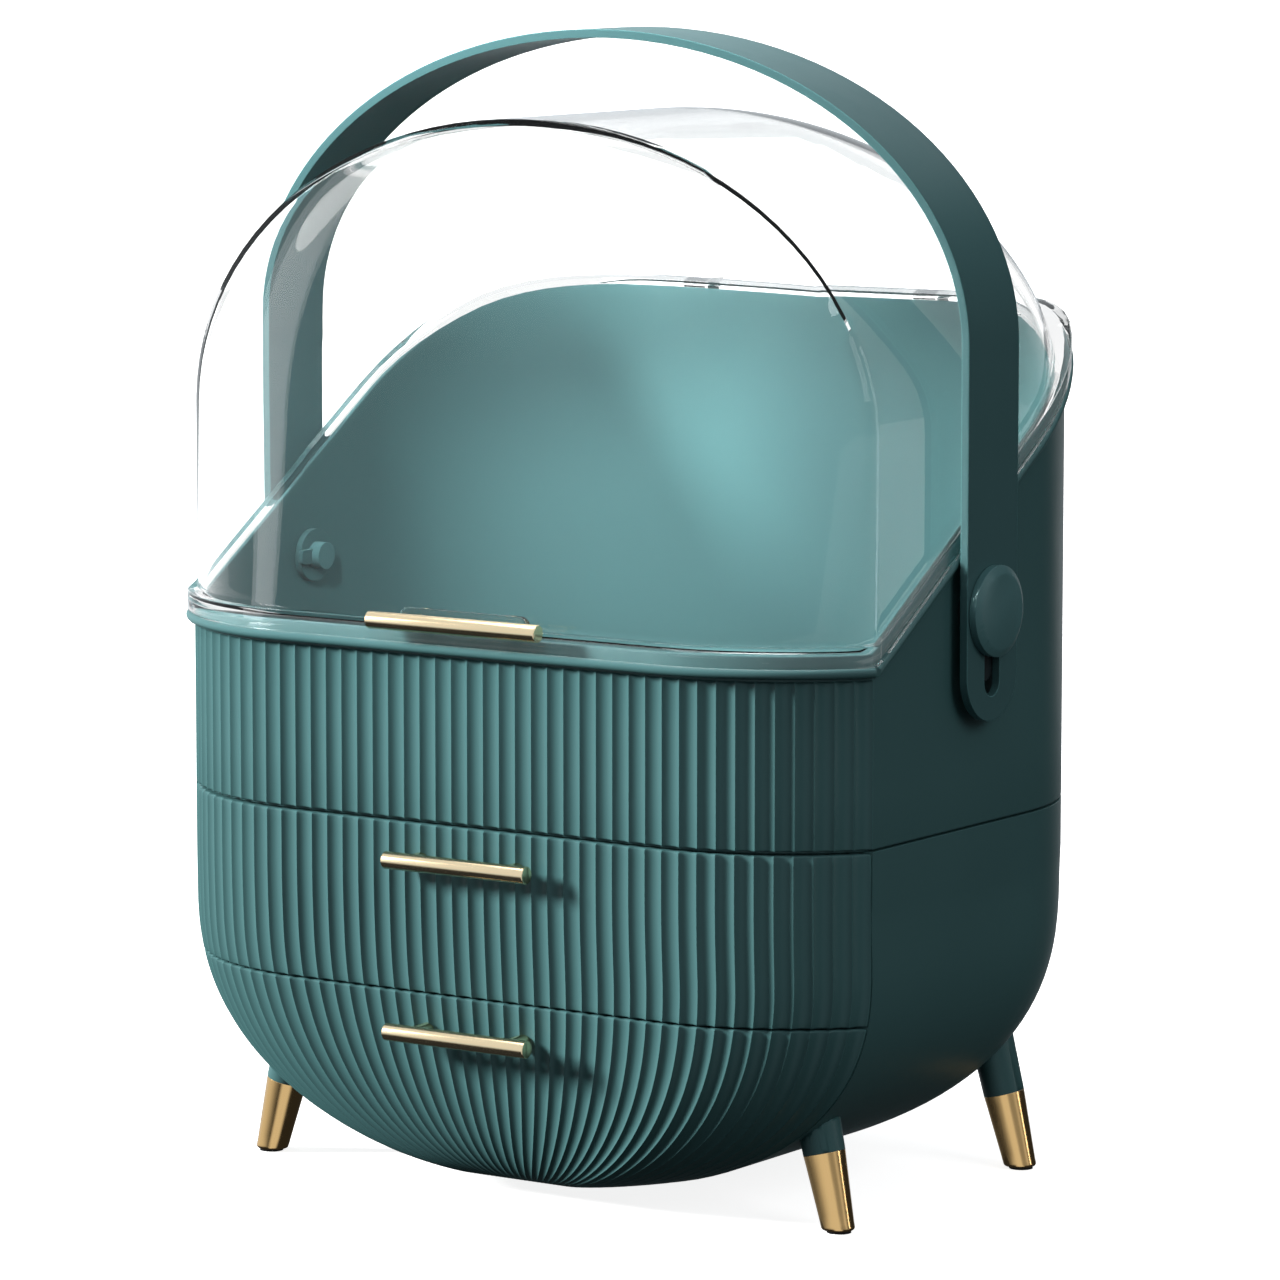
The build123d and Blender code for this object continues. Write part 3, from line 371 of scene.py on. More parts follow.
# the knob's lighter finish is painted light; the spacer's dark finish is partly painted shade
ownFinish = {"ferrule": "ferruleGold", "knob": "knobPlastic", "spacer": "darkPlastic"}
for name in sorted(frame["nodes"]):
    if name in remade or name.endswith("_screws"):
        continue
    finish = next((own for part, own in ownFinish.items() if part in name), None)
    mesh = mergedCopy(name)
    shadeSmooth(mesh, cadLook["knobAngle" if "knob" in name else "smoothAngle"])
    placePiece(name + "_smooth", mesh, name, finish)
print("CAD pieces smoothed")


# the body's outer form as Geometry Nodes: a flat sheet laid out as run, inset and height is
# bent round the plan, drawn in by the bowl, fluted and lifted along the rim
bodyPlan = {"flatHalf": 73.5 * mm, "arcRadius": 76.5 * mm, "rearFlatHalf": 58.5 * mm,
            "halfWidth": 135 * mm, "depth": 204 * mm, "bowlVertex": 4.33 * mm, "sideStart": 88.5 * mm,
            "endStart": 110.8 * mm, "bowlCentre": 54.1 * mm, "sidePower": 2.29, "sideRoot": 2.14,
            "endPower": 1.82, "endRoot": 4.74, "rimFront": 186 * mm, "rimRear": 283.6 * mm,
            "rimBend": 183.6 * mm, "rimFrontRadius": 8 * mm, "rimRearRadius": 65 * mm}
fluteLook = {"count": 46, "depth": 1.25 * mm, "steps": 10, "leastDepth": 0.00001}
rearSteps = {"flat": 6, "arc": 24, "side": 10}


def cornerY(inset=0.0):
    reach = bodyPlan["halfWidth"] - inset - bodyPlan["flatHalf"]
    return bodyPlan["arcRadius"] - sqrt((bodyPlan["arcRadius"] - inset) ** 2 - reach ** 2)


def cornerTurn(inset=0.0):
    radius = bodyPlan["arcRadius"] - inset
    return asin((bodyPlan["halfWidth"] - inset - bodyPlan["flatHalf"]) / radius)


frontHalfRun = bodyPlan["flatHalf"] + bodyPlan["arcRadius"] * cornerTurn()
rimSlope = atan2(bodyPlan["rimRear"] - bodyPlan["rimFront"], bodyPlan["rimBend"] - cornerY())


def rimHeight(y):
    # rim line in the side view: level, arc, slope, arc, level
    plan = bodyPlan
    lowStart = cornerY() - plan["rimFrontRadius"] * tan(rimSlope / 2)
    past = max(0.0, y - lowStart)
    if past < plan["rimFrontRadius"] * sin(rimSlope):
        low = plan["rimFront"] + plan["rimFrontRadius"] - sqrt(plan["rimFrontRadius"] ** 2 - past ** 2)
    else:
        low = plan["rimFront"] + (y - cornerY()) * tan(rimSlope)
    left = max(0.0, plan["rimBend"] + plan["rimRearRadius"] * tan(rimSlope / 2) - y)
    if left < plan["rimRearRadius"] * sin(rimSlope):
        return plan["rimRear"] - plan["rimRearRadius"] + sqrt(plan["rimRearRadius"] ** 2 - left ** 2)
    return low


def shapeTree(name, values):
    return newGroup(name, "GeometryNodeTree", {"Geometry": "Geometry", **values, "Material": "Material"},
                    {"Geometry": "Geometry"})


def splitPosition(tree):
    position = tree.nodes.new("GeometryNodeInputPosition").outputs[0]
    return addNode(tree, "ShaderNodeSeparateXYZ", {0: position}).outputs


def moveTo(tree, geometry, x, y, z):
    there = addNode(tree, "ShaderNodeCombineXYZ", {0: x, 1: y, 2: z}).outputs[0]
    return addNode(tree, "GeometryNodeSetPosition", {"Geometry": geometry, "Position": there}).outputs[0]


def readAttribute(tree, name, kind="FLOAT"):
    node = addNode(tree, "GeometryNodeInputNamedAttribute", {"Name": name}, data_type=kind)
    return node.outputs["Attribute"]


def finishTree(tree, geometry, given, out):
    real = addNode(tree, "GeometryNodeRealizeInstances", {"Geometry": geometry})
    painted = addNode(tree, "GeometryNodeSetMaterial", {
        "Geometry": real.outputs[0], "Material": given["Material"]})
    tree.links.new(painted.outputs[0], out["Geometry"])
    return tree


def makeBodyWall():
    plan = bodyPlan
    tree, given, out = shapeTree("bodyWall", {
        "Flat Half": plan["flatHalf"], "Arc Radius": plan["arcRadius"], "Arc Turn": cornerTurn(),
        "Start Y": 0.0, "Direction": 1.0, "Stop Y": 1.0, "Flute Start": frontHalfRun,
        "Flute Pitch": 0.006, "Flute Depth": 0.0, "Bowl Vertex": plan["bowlVertex"],
        "Side Start": plan["sideStart"], "End Start": plan["endStart"],
        "Bowl Centre": plan["bowlCentre"], "Rim Slope": rimSlope,
        "Rim Rise": plan["rimRear"] - plan["rimFront"], "Rim Corner": cornerY(),
        "Rim Bend": plan["rimBend"], "Front Bend Radius": plan["rimFrontRadius"],
        "Rear Bend Radius": plan["rimRearRadius"], "Mid Depth": midDepth})
    plus, minus, times, over, larger, smaller, power, root, sine, tangent = operators(
        tree, "ADD", "SUBTRACT", "MULTIPLY", "DIVIDE", "MAXIMUM", "MINIMUM", "POWER", "SQRT", "SINE",
        "TANGENT")

    def squared(value):
        return times(value, value)

    run, inset, height = splitPosition(tree)
    # bowl: how far the plan shrinks at this height
    vertex = plus(given["Bowl Vertex"], larger(inset, 0.0))

    def shrink(start, lawPower, lawRoot):
        below = over(minus(start, height), minus(start, vertex))
        share = power(larger(below, 0.0), lawPower)
        return power(larger(minus(1.0, share), 0.0), 1 / lawRoot)

    sideShare = shrink(given["Side Start"], plan["sidePower"], plan["sideRoot"])
    endShare = shrink(given["End Start"], plan["endPower"], plan["endRoot"])
    # flute: a hollow arc between two ridges
    pitch, depth = given["Flute Pitch"], larger(given["Flute Depth"], fluteLook["leastDepth"])
    cell = calc(tree, "FRACT", over(plus(run, given["Flute Start"]), pitch))
    across = times(minus(cell, 0.5), pitch)
    hollow = over(plus(times(squared(pitch), 0.25), squared(depth)), times(depth, 2.0))
    drop = root(minus(squared(hollow), squared(across)))
    cut = larger(minus(drop, minus(hollow, depth)), 0.0)
    total = plus(inset, times(times(cut, sideShare), readAttribute(tree, "fluting")))
    # plan: flat, arc, then straight on
    away = calc(tree, "ABSOLUTE", run)
    past = larger(minus(away, given["Flat Half"]), 0.0)
    turn = smaller(over(past, given["Arc Radius"]), given["Arc Turn"])
    straight = minus(past, times(turn, given["Arc Radius"]))
    radius = minus(given["Arc Radius"], total)
    x = plus(smaller(away, given["Flat Half"]), times(radius, sine(turn)))
    x = times(times(x, calc(tree, "SIGN", run)), sideShare)
    y = minus(given["Arc Radius"], times(radius, calc(tree, "COSINE", turn)))
    y = plus(given["Start Y"], times(plus(y, straight), given["Direction"]))
    y = smaller(y, given["Stop Y"])
    y = plus(y, times(minus(given["Stop Y"], y), readAttribute(tree, "floorShare")))
    y = plus(given["Bowl Centre"], times(minus(y, given["Bowl Centre"]), endShare))
    # rim: level, arc, slope, arc, level
    slope = given["Rim Slope"]
    halfTan, slopeSine = tangent(times(slope, 0.5)), sine(slope)

    def bend(bendRadius, distance):
        rise = root(larger(minus(squared(bendRadius), squared(distance)), 0.0))
        return minus(bendRadius, rise), calc(tree, "LESS_THAN", distance, times(bendRadius, slopeSine))

    frontRadius, rearRadius = given["Front Bend Radius"], given["Rear Bend Radius"]
    lowStart = minus(given["Rim Corner"], times(frontRadius, halfTan))
    lowArc, inLow = bend(frontRadius, larger(minus(y, lowStart), 0.0))
    line = times(minus(y, given["Rim Corner"]), tangent(slope))
    highEnd = plus(given["Rim Bend"], times(rearRadius, halfTan))
    highArc, inHigh = bend(rearRadius, larger(minus(highEnd, y), 0.0))
    rim = blend(tree, inHigh, blend(tree, inLow, line, lowArc), minus(given["Rim Rise"], highArc))
    z = plus(height, times(rim, readAttribute(tree, "rimRise")))
    moved = moveTo(tree, given["Geometry"], x, minus(y, given["Mid Depth"]), z)
    return finishTree(tree, moved, given, out)


bodyWall = makeBodyWall()


def runTree(tree, mesh, inputs):
    # one modifier on a throwaway object; its result is a plain mesh
    holder = addObject("holder", mesh)
    modifier = holder.modifiers.new("shape", "NODES")
    modifier.node_group = tree
    sockets = {item.name: item.identifier for item in tree.interface.items_tree
               if item.item_type == "SOCKET" and item.in_out == "INPUT"}
    for name, value in inputs.items():
        modifier[sockets[name]] = value
    bpy.context.view_layer.update()
    result = bpy.data.meshes.new_from_object(
        holder.evaluated_get(bpy.context.evaluated_depsgraph_get()))
    holder.modifiers.remove(modifier)
    bpy.data.objects.remove(holder)
    return result


sheetLayers = ("fluting", "rimRise", "floorShare")


def makeSheet(columns, section, closed):
    # grid of run by section; a section point is inset, height and the values of the layers
    mesh = bpy.data.meshes.new("sheet")
    rows, runs = len(section), [columns(point[0]) for point in section]
    count = len(runs[0])
    points = [(runs[row][number], *section[row][:2]) for number in range(count) for row in range(rows)]
    faces = []
    for number in range(count - 1):
        for row in range(rows if closed else rows - 1):
            a = number * rows + row
            b = number * rows + (row + 1) % rows
            faces.append((a, b, b + rows, a + rows))
    if closed:
        faces.append(tuple(range(rows)))
        faces.append(tuple(len(points) - 1 - row for row in range(rows)))
    mesh.from_pydata(points, [], faces)
    for place, name in enumerate(sheetLayers, 2):
        layer = mesh.attributes.new(name, "FLOAT", "POINT")
        layer.data.foreach_set("value", [point[place] for point in section] * count)
    return mesh


def tidyMesh(mesh, degrees, mergeReach, closeHoles=False):
    work = openMesh(mesh)
    bmesh.ops.remove_doubles(work, verts=work.verts, dist=mergeReach)
    bmesh.ops.dissolve_degenerate(work, edges=work.edges, dist=0.000001)
    if closeHoles:
        bmesh.ops.holes_fill(work, edges=[edge for edge in work.edges if edge.is_boundary])
    bmesh.ops.recalc_face_normals(work, faces=work.faces)
    for name in sheetLayers:
        layer = work.verts.layers.float.get(name)
        if layer:
            work.verts.layers.float.remove(layer)
    shadeSmooth(closeMesh(work, mesh), degrees)
    return mesh


def fluteColumns(endGap):
    # ridges and the steps between them, from corner to corner; an inset shortens the arcs alone
    half = frontHalfRun - endGap
    total = fluteLook["count"] * fluteLook["steps"]
    runs = [-half + 2 * half * number / total for number in range(total + 1)]

    def columns(inset):
        if inset <= 0 or endGap > 0:
            return runs
        share = cornerTurn(inset) / cornerTurn()
        flat = bodyPlan["flatHalf"]
        return [run if abs(run) <= flat else (1 if run > 0 else -1) * (flat + (abs(run) - flat) * share)
                for run in runs]
    return columns


def rearColumns(inset):
    # rear flat, round corners and straight sides up to the front corners
    flat, radius = bodyPlan["rearFlatHalf"], bodyPlan["arcRadius"]
    side = bodyPlan["depth"] - radius - cornerY(max(inset, 0.0))
    right, start = [0.0], 0.0
    for part, length in (("flat", flat), ("arc", radius * pi / 2), ("side", side)):
        count = rearSteps[part]
        right += [start + length * step / count for step in range(1, count + 1)]
        start += length
    return [-run for run in reversed(right)] + right[1:]


def arcPoints(inset, height, radius, fromDegrees, toDegrees, steps, fluting=0.0, rise=0.0):
    # round a centre; angles run from outwards (0) to up (90); outwards is a smaller inset
    points = []
    for step in range(steps + 1):
        angle = radians(fromDegrees + (toDegrees - fromDegrees) * step / steps)
        points.append((inset - radius * cos(angle), height + radius * sin(angle), fluting, rise, 0.0))
    return points


def spread(low, high, steps, power=1.0):
    return [low + (high - low) * (step / steps) ** power for step in range(steps + 1)]


frontLook = {"lipRadius": 0.8 * mm, "footRadius": 0.5 * mm, "thickness": 4 * mm, "endGap": 0.4 * mm,
             "mergeReach": 0.01 * mm, "smoothAngle": 32}
upperLook = {"low": 70.8 * mm, "high": 126.6 * mm, "rows": 26, "innerRows": 8, "power": 1.0,
             "floorTop": None}
lowerLook = {"low": 6.5 * mm, "high": 70.2 * mm, "rows": 44, "innerRows": 14, "power": 1.5,
             "floorTop": 10.5 * mm}


def makeFront(look):
    low, high, floorTop, power = look["low"], look["high"], look["floorTop"], look["power"]
    thickness, lip, foot = frontLook["thickness"], frontLook["lipRadius"], frontLook["footRadius"]
    section = []
    if floorTop is None:
        section += arcPoints(foot, low + foot, foot, -90, 0, 4, fluting=1.0)
    outerLow = low + foot if floorTop is None else low
    section += [(0.0, height, 1.0, 0.0, 0.0) for height in spread(outerLow, high - lip, look["rows"], power)]
    section += arcPoints(lip, high - lip, lip, 0, 90, 5, fluting=1.0)[1:]
    innerLow = low if floorTop is None else floorTop
    section += [(thickness, height, 0.0, 0.0, 0.0)
                for height in reversed(spread(innerLow, high, look["innerRows"], power))]
    if floorTop is not None:
        section += [(thickness, floorTop, 0.0, 0.0, 1.0), (0.0, low, 0.0, 0.0, 1.0)]
    half = frontHalfRun - frontLook["endGap"]
    endTurn = (half - bodyPlan["flatHalf"]) / bodyPlan["arcRadius"]
    mesh = runTree(bodyWall, makeSheet(fluteColumns(frontLook["endGap"]), section, True), {
        "Flute Start": half, "Flute Pitch": 2 * half / fluteLook["count"], "Flute Depth": fluteLook["depth"],
        "Stop Y": bodyPlan["arcRadius"] * (1 - cos(endTurn)), "Material": finishes["bodyPlastic"]})
    return tidyMesh(mesh, frontLook["smoothAngle"], frontLook["mergeReach"])


trayLook = {"foot": 127.2 * mm, "base": 127.9 * mm, "shadow": 2.45 * mm, "edge": 0.5 * mm,
            "fluteTop": 182 * mm, "groove": 0.3 * mm, "beadOut": 1.3 * mm, "bead": 1.6 * mm,
            "lipFrom": 0.8 * mm, "lipRadius": 0.6 * mm, "lipRise": 3.6 * mm, "wall": 3 * mm,
            "floorRadius": 1.5 * mm, "floor": 132.2 * mm, "mergeReach": 0.04 * mm, "smoothAngle": 32}
# heights in millimetres and how deep the flutes are there
fluteRuns = ((145, 1.0), (163, 1.0), (180.9, 1.0), (181.3, 0.93), (181.6, 0.76), (181.8, 0.5), (181.95, 0.2))


def makeTray():
    # outer wall, groove, bead, lip, inner wall and the round into the floor
    look, rim = trayLook, bodyPlan["rimFront"]
    shadow, base, edge, lip = look["shadow"], look["base"], look["edge"], look["lipRadius"]
    section = [(shadow, look["foot"], 0.0, 0.0, 0.0), (shadow, base, 0.0, 0.0, 0.0)]
    section += arcPoints(edge, base + edge, edge, -90, 0, 4, fluting=1.0)
    section += [(0.0, height * mm, fluting, 0.0, 0.0) for height, fluting in fluteRuns]
    section += [(0.0, look["fluteTop"], 0.0, 0.0, 0.0)]
    beadHeight = rim - look["bead"]
    section += arcPoints(-look["groove"], beadHeight - look["beadOut"], look["groove"], 180, 270, 3, rise=1.0)
    section += arcPoints(-look["beadOut"], beadHeight, look["bead"], -90, 90, 10, rise=1.0)
    section += [(look["lipFrom"], rim, 0.0, 1.0, 0.0)]
    outerLip, innerLip = look["lipFrom"] + lip, look["wall"] - lip
    section += arcPoints(outerLip, rim + look["lipRise"], lip, 0, 90, 4, rise=1.0)
    section += arcPoints(innerLip, rim + look["lipRise"], lip, 90, 180, 4, rise=1.0)
    section += [(look["wall"], rim - 1 * mm, 0.0, 1.0, 0.0), (look["wall"], look["fluteTop"], 0.0, 0.0, 0.0)]
    corner = look["floorRadius"]
    section += arcPoints(look["wall"] + corner, look["floor"] + corner, corner, 180, 270, 4)
    frontPart = runTree(bodyWall, makeSheet(fluteColumns(0.0), section, False), {
        "Flute Start": frontHalfRun, "Flute Pitch": 2 * frontHalfRun / fluteLook["count"],
        "Flute Depth": fluteLook["depth"], "Arc Turn": 2.0, "Material": finishes["bodyPlastic"]})
    plain = [(inset, height, 0.0, rise, share) for inset, height, fluting, rise, share in section]
    rearPart = runTree(bodyWall, makeSheet(rearColumns, plain, False), {
        "Flat Half": bodyPlan["rearFlatHalf"], "Arc Turn": pi / 2, "Start Y": bodyPlan["depth"],
        "Direction": -1.0, "Material": finishes["bodyPlastic"]})
    mesh = closeMesh(openMesh(frontPart, rearPart), bpy.data.meshes.new("trayWall"))
    return tidyMesh(mesh, look["smoothAngle"], look["mergeReach"], closeHoles=True)


placePiece("trayWall", makeTray(), "upper_tray")
placePiece("upperFront", makeFront(upperLook), "upper_drawer_front")
placePiece("lowerFront", makeFront(lowerLook), "lower_drawer_front")
print("fluted fronts and tray made")


# screws and bars, turned from a profile
turnedLook = {"segments": 48, "smoothAngle": 35, "mergeReach": 0.000001}


def turnProfile(tree, profile, segments):
    # a grid wrapped round the upright axis; each row takes a radius and a height of the profile
    rows = len(profile)
    grid = addNode(tree, "GeometryNodeMeshGrid", {
        "Size X": 2 * pi, "Size Y": rows - 1.0, "Vertices Y": rows,
        "Vertices X": calc(tree, "ADD", segments, 1.0)})
    turn, along, unused = splitPosition(tree)
    row = calc(tree, "ROUND", calc(tree, "ADD", along, (rows - 1) / 2))

    def pick(column):
        switch = addNode(tree, "GeometryNodeIndexSwitch", data_type="FLOAT")
        while len(switch.index_switch_items) < rows:
            switch.index_switch_items.new()
        values = enumerate([row, *(point[column] for point in profile)])
        return fill(tree, switch, dict(values)).outputs[0]

    radius, height = pick(0), pick(1)
    x, y = [calc(tree, "MULTIPLY", radius, calc(tree, law, turn)) for law in ("COSINE", "SINE")]
    closed = addNode(tree, "GeometryNodeMergeByDistance", {
        "Geometry": moveTo(tree, grid.outputs[0], x, y, height), "Distance": turnedLook["mergeReach"]})
    return addNode(tree, "GeometryNodeFlipFaces", {"Mesh": closed.outputs[0]}).outputs[0]


def roundedEdge(tree, radius, top, bend, down=-1.0):
    # quarter arc from the end face to the side
    plus, minus, times = operators(tree, "ADD", "SUBTRACT", "MULTIPLY")
    turns = [pi / 2 * step / 4 for step in range(5)]
    return [(minus(radius, times(bend, 1 - sin(turn))), plus(top, times(bend, down * (1 - cos(turn)))))
            for turn in turns]


def turnedTree(name, lengths):
    return shapeTree(name, {"Segments": turnedLook["segments"], **{length: 0.001 for length in lengths}})


def makeScrewSet():
    # one screw, set on every point of the mesh it is given and turned to that point's aim
    tree, given, out = turnedTree("screwSet", [
        "Shank Radius", "Shank Length", "Head Radius", "Head Height", "Dome", "Sink", "Recess Radius",
        "Recess Depth"])
    minus, times = operators(tree, "SUBTRACT", "MULTIPLY")
    top, shank, recess = given["Head Height"], given["Shank Radius"], given["Recess Radius"]
    recessFloor = minus(top, given["Recess Depth"])
    end, neck = times(given["Shank Length"], -1.0), times(given["Sink"], -1.0)
    profile = [(0.0, recessFloor), (recess, recessFloor), (recess, top)]
    profile += roundedEdge(tree, given["Head Radius"], top, given["Dome"])
    profile += [(given["Head Radius"], 0.0), (shank, neck), (shank, end), (0.0, end)]
    screw = turnProfile(tree, profile, given["Segments"])
    aim = readAttribute(tree, "aim", "FLOAT_VECTOR")
    turn = addNode(tree, "FunctionNodeAlignRotationToVector", {"Vector": aim}, axis="Z")
    placed = addNode(tree, "GeometryNodeInstanceOnPoints", {
        "Points": given["Geometry"], "Instance": screw, "Rotation": turn.outputs[0]})
    return finishTree(tree, placed.outputs[0], given, out)


def makeBarPull():
    # round bar along X on two posts that run back to the face and end in a thin spigot
    tree, given, out = turnedTree("barPull", [
        "Length", "Radius", "Bend", "Post X", "Post Radius", "Post Length", "Spigot Radius",
        "Spigot Length"])
    minus, times = operators(tree, "SUBTRACT", "MULTIPLY")
    half, radius, bend = times(given["Length"], 0.5), given["Radius"], given["Bend"]
    low, foot = times(half, -1.0), times(given["Post Length"], -1.0)
    tip = minus(foot, given["Spigot Length"])
    rod = [(0.0, half)] + roundedEdge(tree, radius, half, bend)
    rod += roundedEdge(tree, radius, low, bend, 1.0)[::-1] + [(0.0, low)]
    bar = addNode(tree, "GeometryNodeTransform", {
        "Geometry": turnProfile(tree, rod, given["Segments"]), "Rotation": (0, pi / 2, 0)})
    thick, thin = given["Post Radius"], given["Spigot Radius"]
    outline = [(0.0, 0.0), (thick, 0.0), (thick, foot), (thin, foot), (thin, tip), (0.0, tip)]
    post = turnProfile(tree, outline, given["Segments"])
    whole = tree.nodes.new("GeometryNodeJoinGeometry")
    tree.links.new(bar.outputs[0], whole.inputs[0])
    for side in (1.0, -1.0):
        across = addNode(tree, "ShaderNodeCombineXYZ", {0: times(given["Post X"], side)})
        turned = addNode(tree, "GeometryNodeTransform", {
            "Geometry": post, "Rotation": (pi / 2, 0, 0), "Translation": across.outputs[0]})
        tree.links.new(turned.outputs[0], whole.inputs[0])
    placed = addNode(tree, "GeometryNodeInstanceOnPoints", {
        "Points": given["Geometry"], "Instance": whole.outputs[0]})
    return finishTree(tree, placed.outputs[0], given, out)


def placeTurned(node, tree, seats, aims, sizes):
    points = bpy.data.meshes.new(node)
    points.from_pydata([[value * mm for value in seat] for seat in seats], [], [])
    attribute = points.attributes.new("aim", "FLOAT_VECTOR", "POINT")
    for index, aim in enumerate(aims):
        attribute.data[index].vector = aim
    lengths = {name: size * mm for name, size in sizes.items()}
    material = finishes[slotFinish[slotOf[node]]]
    mesh = runTree(tree, points, {**lengths, "Segments": turnedLook["segments"], "Material": material})
    shadeSmooth(mesh, turnedLook["smoothAngle"])
    placePiece(node + "_turned", mesh, node)


# sizes and places from here on are in millimetres
screwKinds = {
    "round": {"Shank Radius": 1.25, "Head Radius": 2.8, "Head Height": 1.8, "Dome": 0.9, "Sink": 0.0,
              "Recess Radius": 1.12, "Recess Depth": 0.9},
    "leg": {"Shank Radius": 1.9, "Head Radius": 3.6, "Head Height": 2.4, "Dome": 1.2, "Sink": 0.0,
            "Recess Radius": 1.44, "Recess Depth": 1.2},
    "flat": {"Shank Radius": 1.25, "Head Radius": 2.8, "Head Height": 0.0, "Dome": 0.0, "Sink": 1.55,
             "Recess Radius": 1.12, "Recess Depth": 0.93}}
legOut, legForward = tan(radians(14)), tan(radians(2))
up, down, back = (0, 0, 1), (0, 0, -1), (0, 1, 0)
# kind, length, then places of the right half with the way each head faces
screwSets = {
    "base_deck_screws": ("flat", 6.8, [(50, -30.35, 25.6, up), (50, 25.65, 25.6, up)]),
    "middle_shelf_screws": ("flat", 6.8, [(125.05, -56.35, 71.9, up), (125.05, 13.65, 71.9, up)]),
    "tray_screws": ("round", 11.2, [(127.4, -56.35, 120, down), (127.4, 13.65, 120, down)]),
    "bracket_screws": ("round", 4.6, [(33.5, 104.05, 271.4, back), (59.5, 104.05, 271.4, back)]),
    "upper_drawer_bar_screws": ("round", 9.56, [(19, -94.24, 115, back)]),
    "upper_drawer_front_screws": ("round", 5.67, [(56, -94.24, 92, back)]),
    "lower_drawer_bar_screws": ("round", 15.28, [(19, -84.95, 58.3, back)]),
    "lower_drawer_front_screws": ("round", 10.22, [(36, -84.95, 48, back)]),
    "leg_screws": ("leg", 16, [(105.85, -56.64, 34.70, (-legOut, legForward, 1)),
                               (101.43, 58.10, 44.38, (-legOut, -legForward, 1))])}
screwSet = makeScrewSet()
for node, (kind, length, places) in screwSets.items():
    seats = [(side * x, y, z) for side in (1, -1) for x, y, z, aim in places]
    aims = [(side * aim[0], aim[1], aim[2]) for side in (1, -1) for x, y, z, aim in places]
    placeTurned(node, screwSet, seats, aims, {**screwKinds[kind], "Shank Length": length})

barSizes = {"Radius": 2.9, "Bend": 0.4, "Post Radius": 2.4, "Spigot Radius": 1.5}
barPulls = {
    "upper_drawer_bar": {"Length": 56.2, "Post X": 19, "Spigot Length": 0.05},
    "lower_drawer_bar": {"Length": 56.2, "Post X": 19, "Spigot Length": 0.05},
    "lid_bar": {"Length": 66.8, "Post X": 17, "Spigot Length": 2.4}}
barPull = makeBarPull()
for node, sizes in barPulls.items():
    ys, zs = [[vert.co[axis] for vert in frame["nodes"][node].data.vertices] for axis in (1, 2)]
    middle, height = min(ys) / mm + barSizes["Radius"], (min(zs) + max(zs)) / 2 / mm
    postLength = max(ys) / mm - middle - sizes["Spigot Length"]
    placeTurned(node, barPull, [(0, middle, height)], [up], {**barSizes, **sizes, "Post Length": postLength})
print("screws and bars made")


# clear lid: levels of the dome carried down into the flange
lidLook = {"wall": 2.2 * mm, "inset": 0.4 * mm, "projection": 2.4 * mm, "flangeHeight": 7 * mm,
           "web": 2 * mm, "edge": 0.5 * mm, "restGap": 0.1 * mm, "creaseSetback": 1.2 * mm,
           "creaseShare": 0.7, "springHeight": 256.5 * mm, "sideDrop": 70 * mm, "rise": 97.8 * mm,
           "roofEnd": 132 * mm, "dropHeight": 265 * mm, "rearInset": 7 * mm, "rearRadius": 76.5 * mm,
           "tabHalf": 25.3 * mm, "tabTop": 197.6 * mm, "tabCorner": 3.5 * mm, "leastLean": 0.03,
           "armX": 46.5 * mm, "armHalf": 4.6 * mm, "armStart": 2 * mm, "mergeReach": 0.02 * mm,
           "smoothAngle": 30, "archSteps": 44, "seekRounds": 30}
lidColumns = {"arc": 16, "side": 24, "rearArc": 14, "rearFlat": 6}
# columns of the flat front, closer together at the tab's corner
frontXs = [x * mm for x in (0, 6, 12, 17, 21.8, 22.6, 23.4, 24.1, 24.7, 25.1, 25.3, 25.3001, 34, 46, 60)]


def halfLoop(inset, share, creaseY, lean, rearY, corner):
    # right half of a plan: flat front, arc, crease, side, rear arc, rear flat
    half, radius = (bodyPlan["halfWidth"] - inset) * share, bodyPlan["arcRadius"] - inset
    steps = {part: [number / count for number in range(1, count + 1)] for part, count in lidColumns.items()}
    loop = [(x * share, creaseY - (cornerY(inset) - inset) * lean) for x in frontXs + [bodyPlan["flatHalf"]]]
    for step in steps["arc"]:
        angle = cornerTurn(inset) * step
        y = inset + radius * (1 - cos(angle))
        x = (bodyPlan["flatHalf"] + radius * sin(angle)) * share
        loop.append((x, creaseY - (cornerY(inset) - y) * lean))
    loop[-1] = (half, creaseY)
    sideEnd = rearY - corner
    loop += [(half, creaseY + (sideEnd - creaseY) * step) for step in steps["side"]]
    loop += [(half - corner * (1 - cos(pi / 2 * step)), sideEnd + corner * sin(pi / 2 * step))
             for step in steps["rearArc"]]
    return loop + [((half - corner) * (1 - step), rearY) for step in steps["rearFlat"]]


def domeLoop(height, turn, wall):
    # one level of the dome: it leans back over the window and drops behind
    look = lidLook
    share, inset = max(cos(turn), 0.0), look["inset"] + wall
    apex, windowLow = look["springHeight"] + look["rise"], bodyPlan["rimFront"] + look["flangeHeight"]
    lean = max(look["leastLean"], min(1.0, (apex - height) / (apex - windowLow)))
    creaseY = cornerY() + look["creaseSetback"] + wall * look["creaseShare"]
    drop = min(1.0, max(0.0, (height - look["dropHeight"]) / (apex - wall - look["dropHeight"])))
    roofY = look["roofEnd"] - wall
    rearY = roofY + (bodyPlan["depth"] - look["rearInset"] - wall - roofY) * sqrt(1 - drop ** 2)
    corner = (look["rearRadius"] - look["rearInset"] - wall) * share
    return halfLoop(inset, share, creaseY, lean, rearY, corner)


def flangeLoop(inset):
    # the same columns on the body's outline at an inset
    return halfLoop(inset, 1.0, cornerY(inset), 1.0, bodyPlan["depth"] - inset, bodyPlan["arcRadius"] - inset)


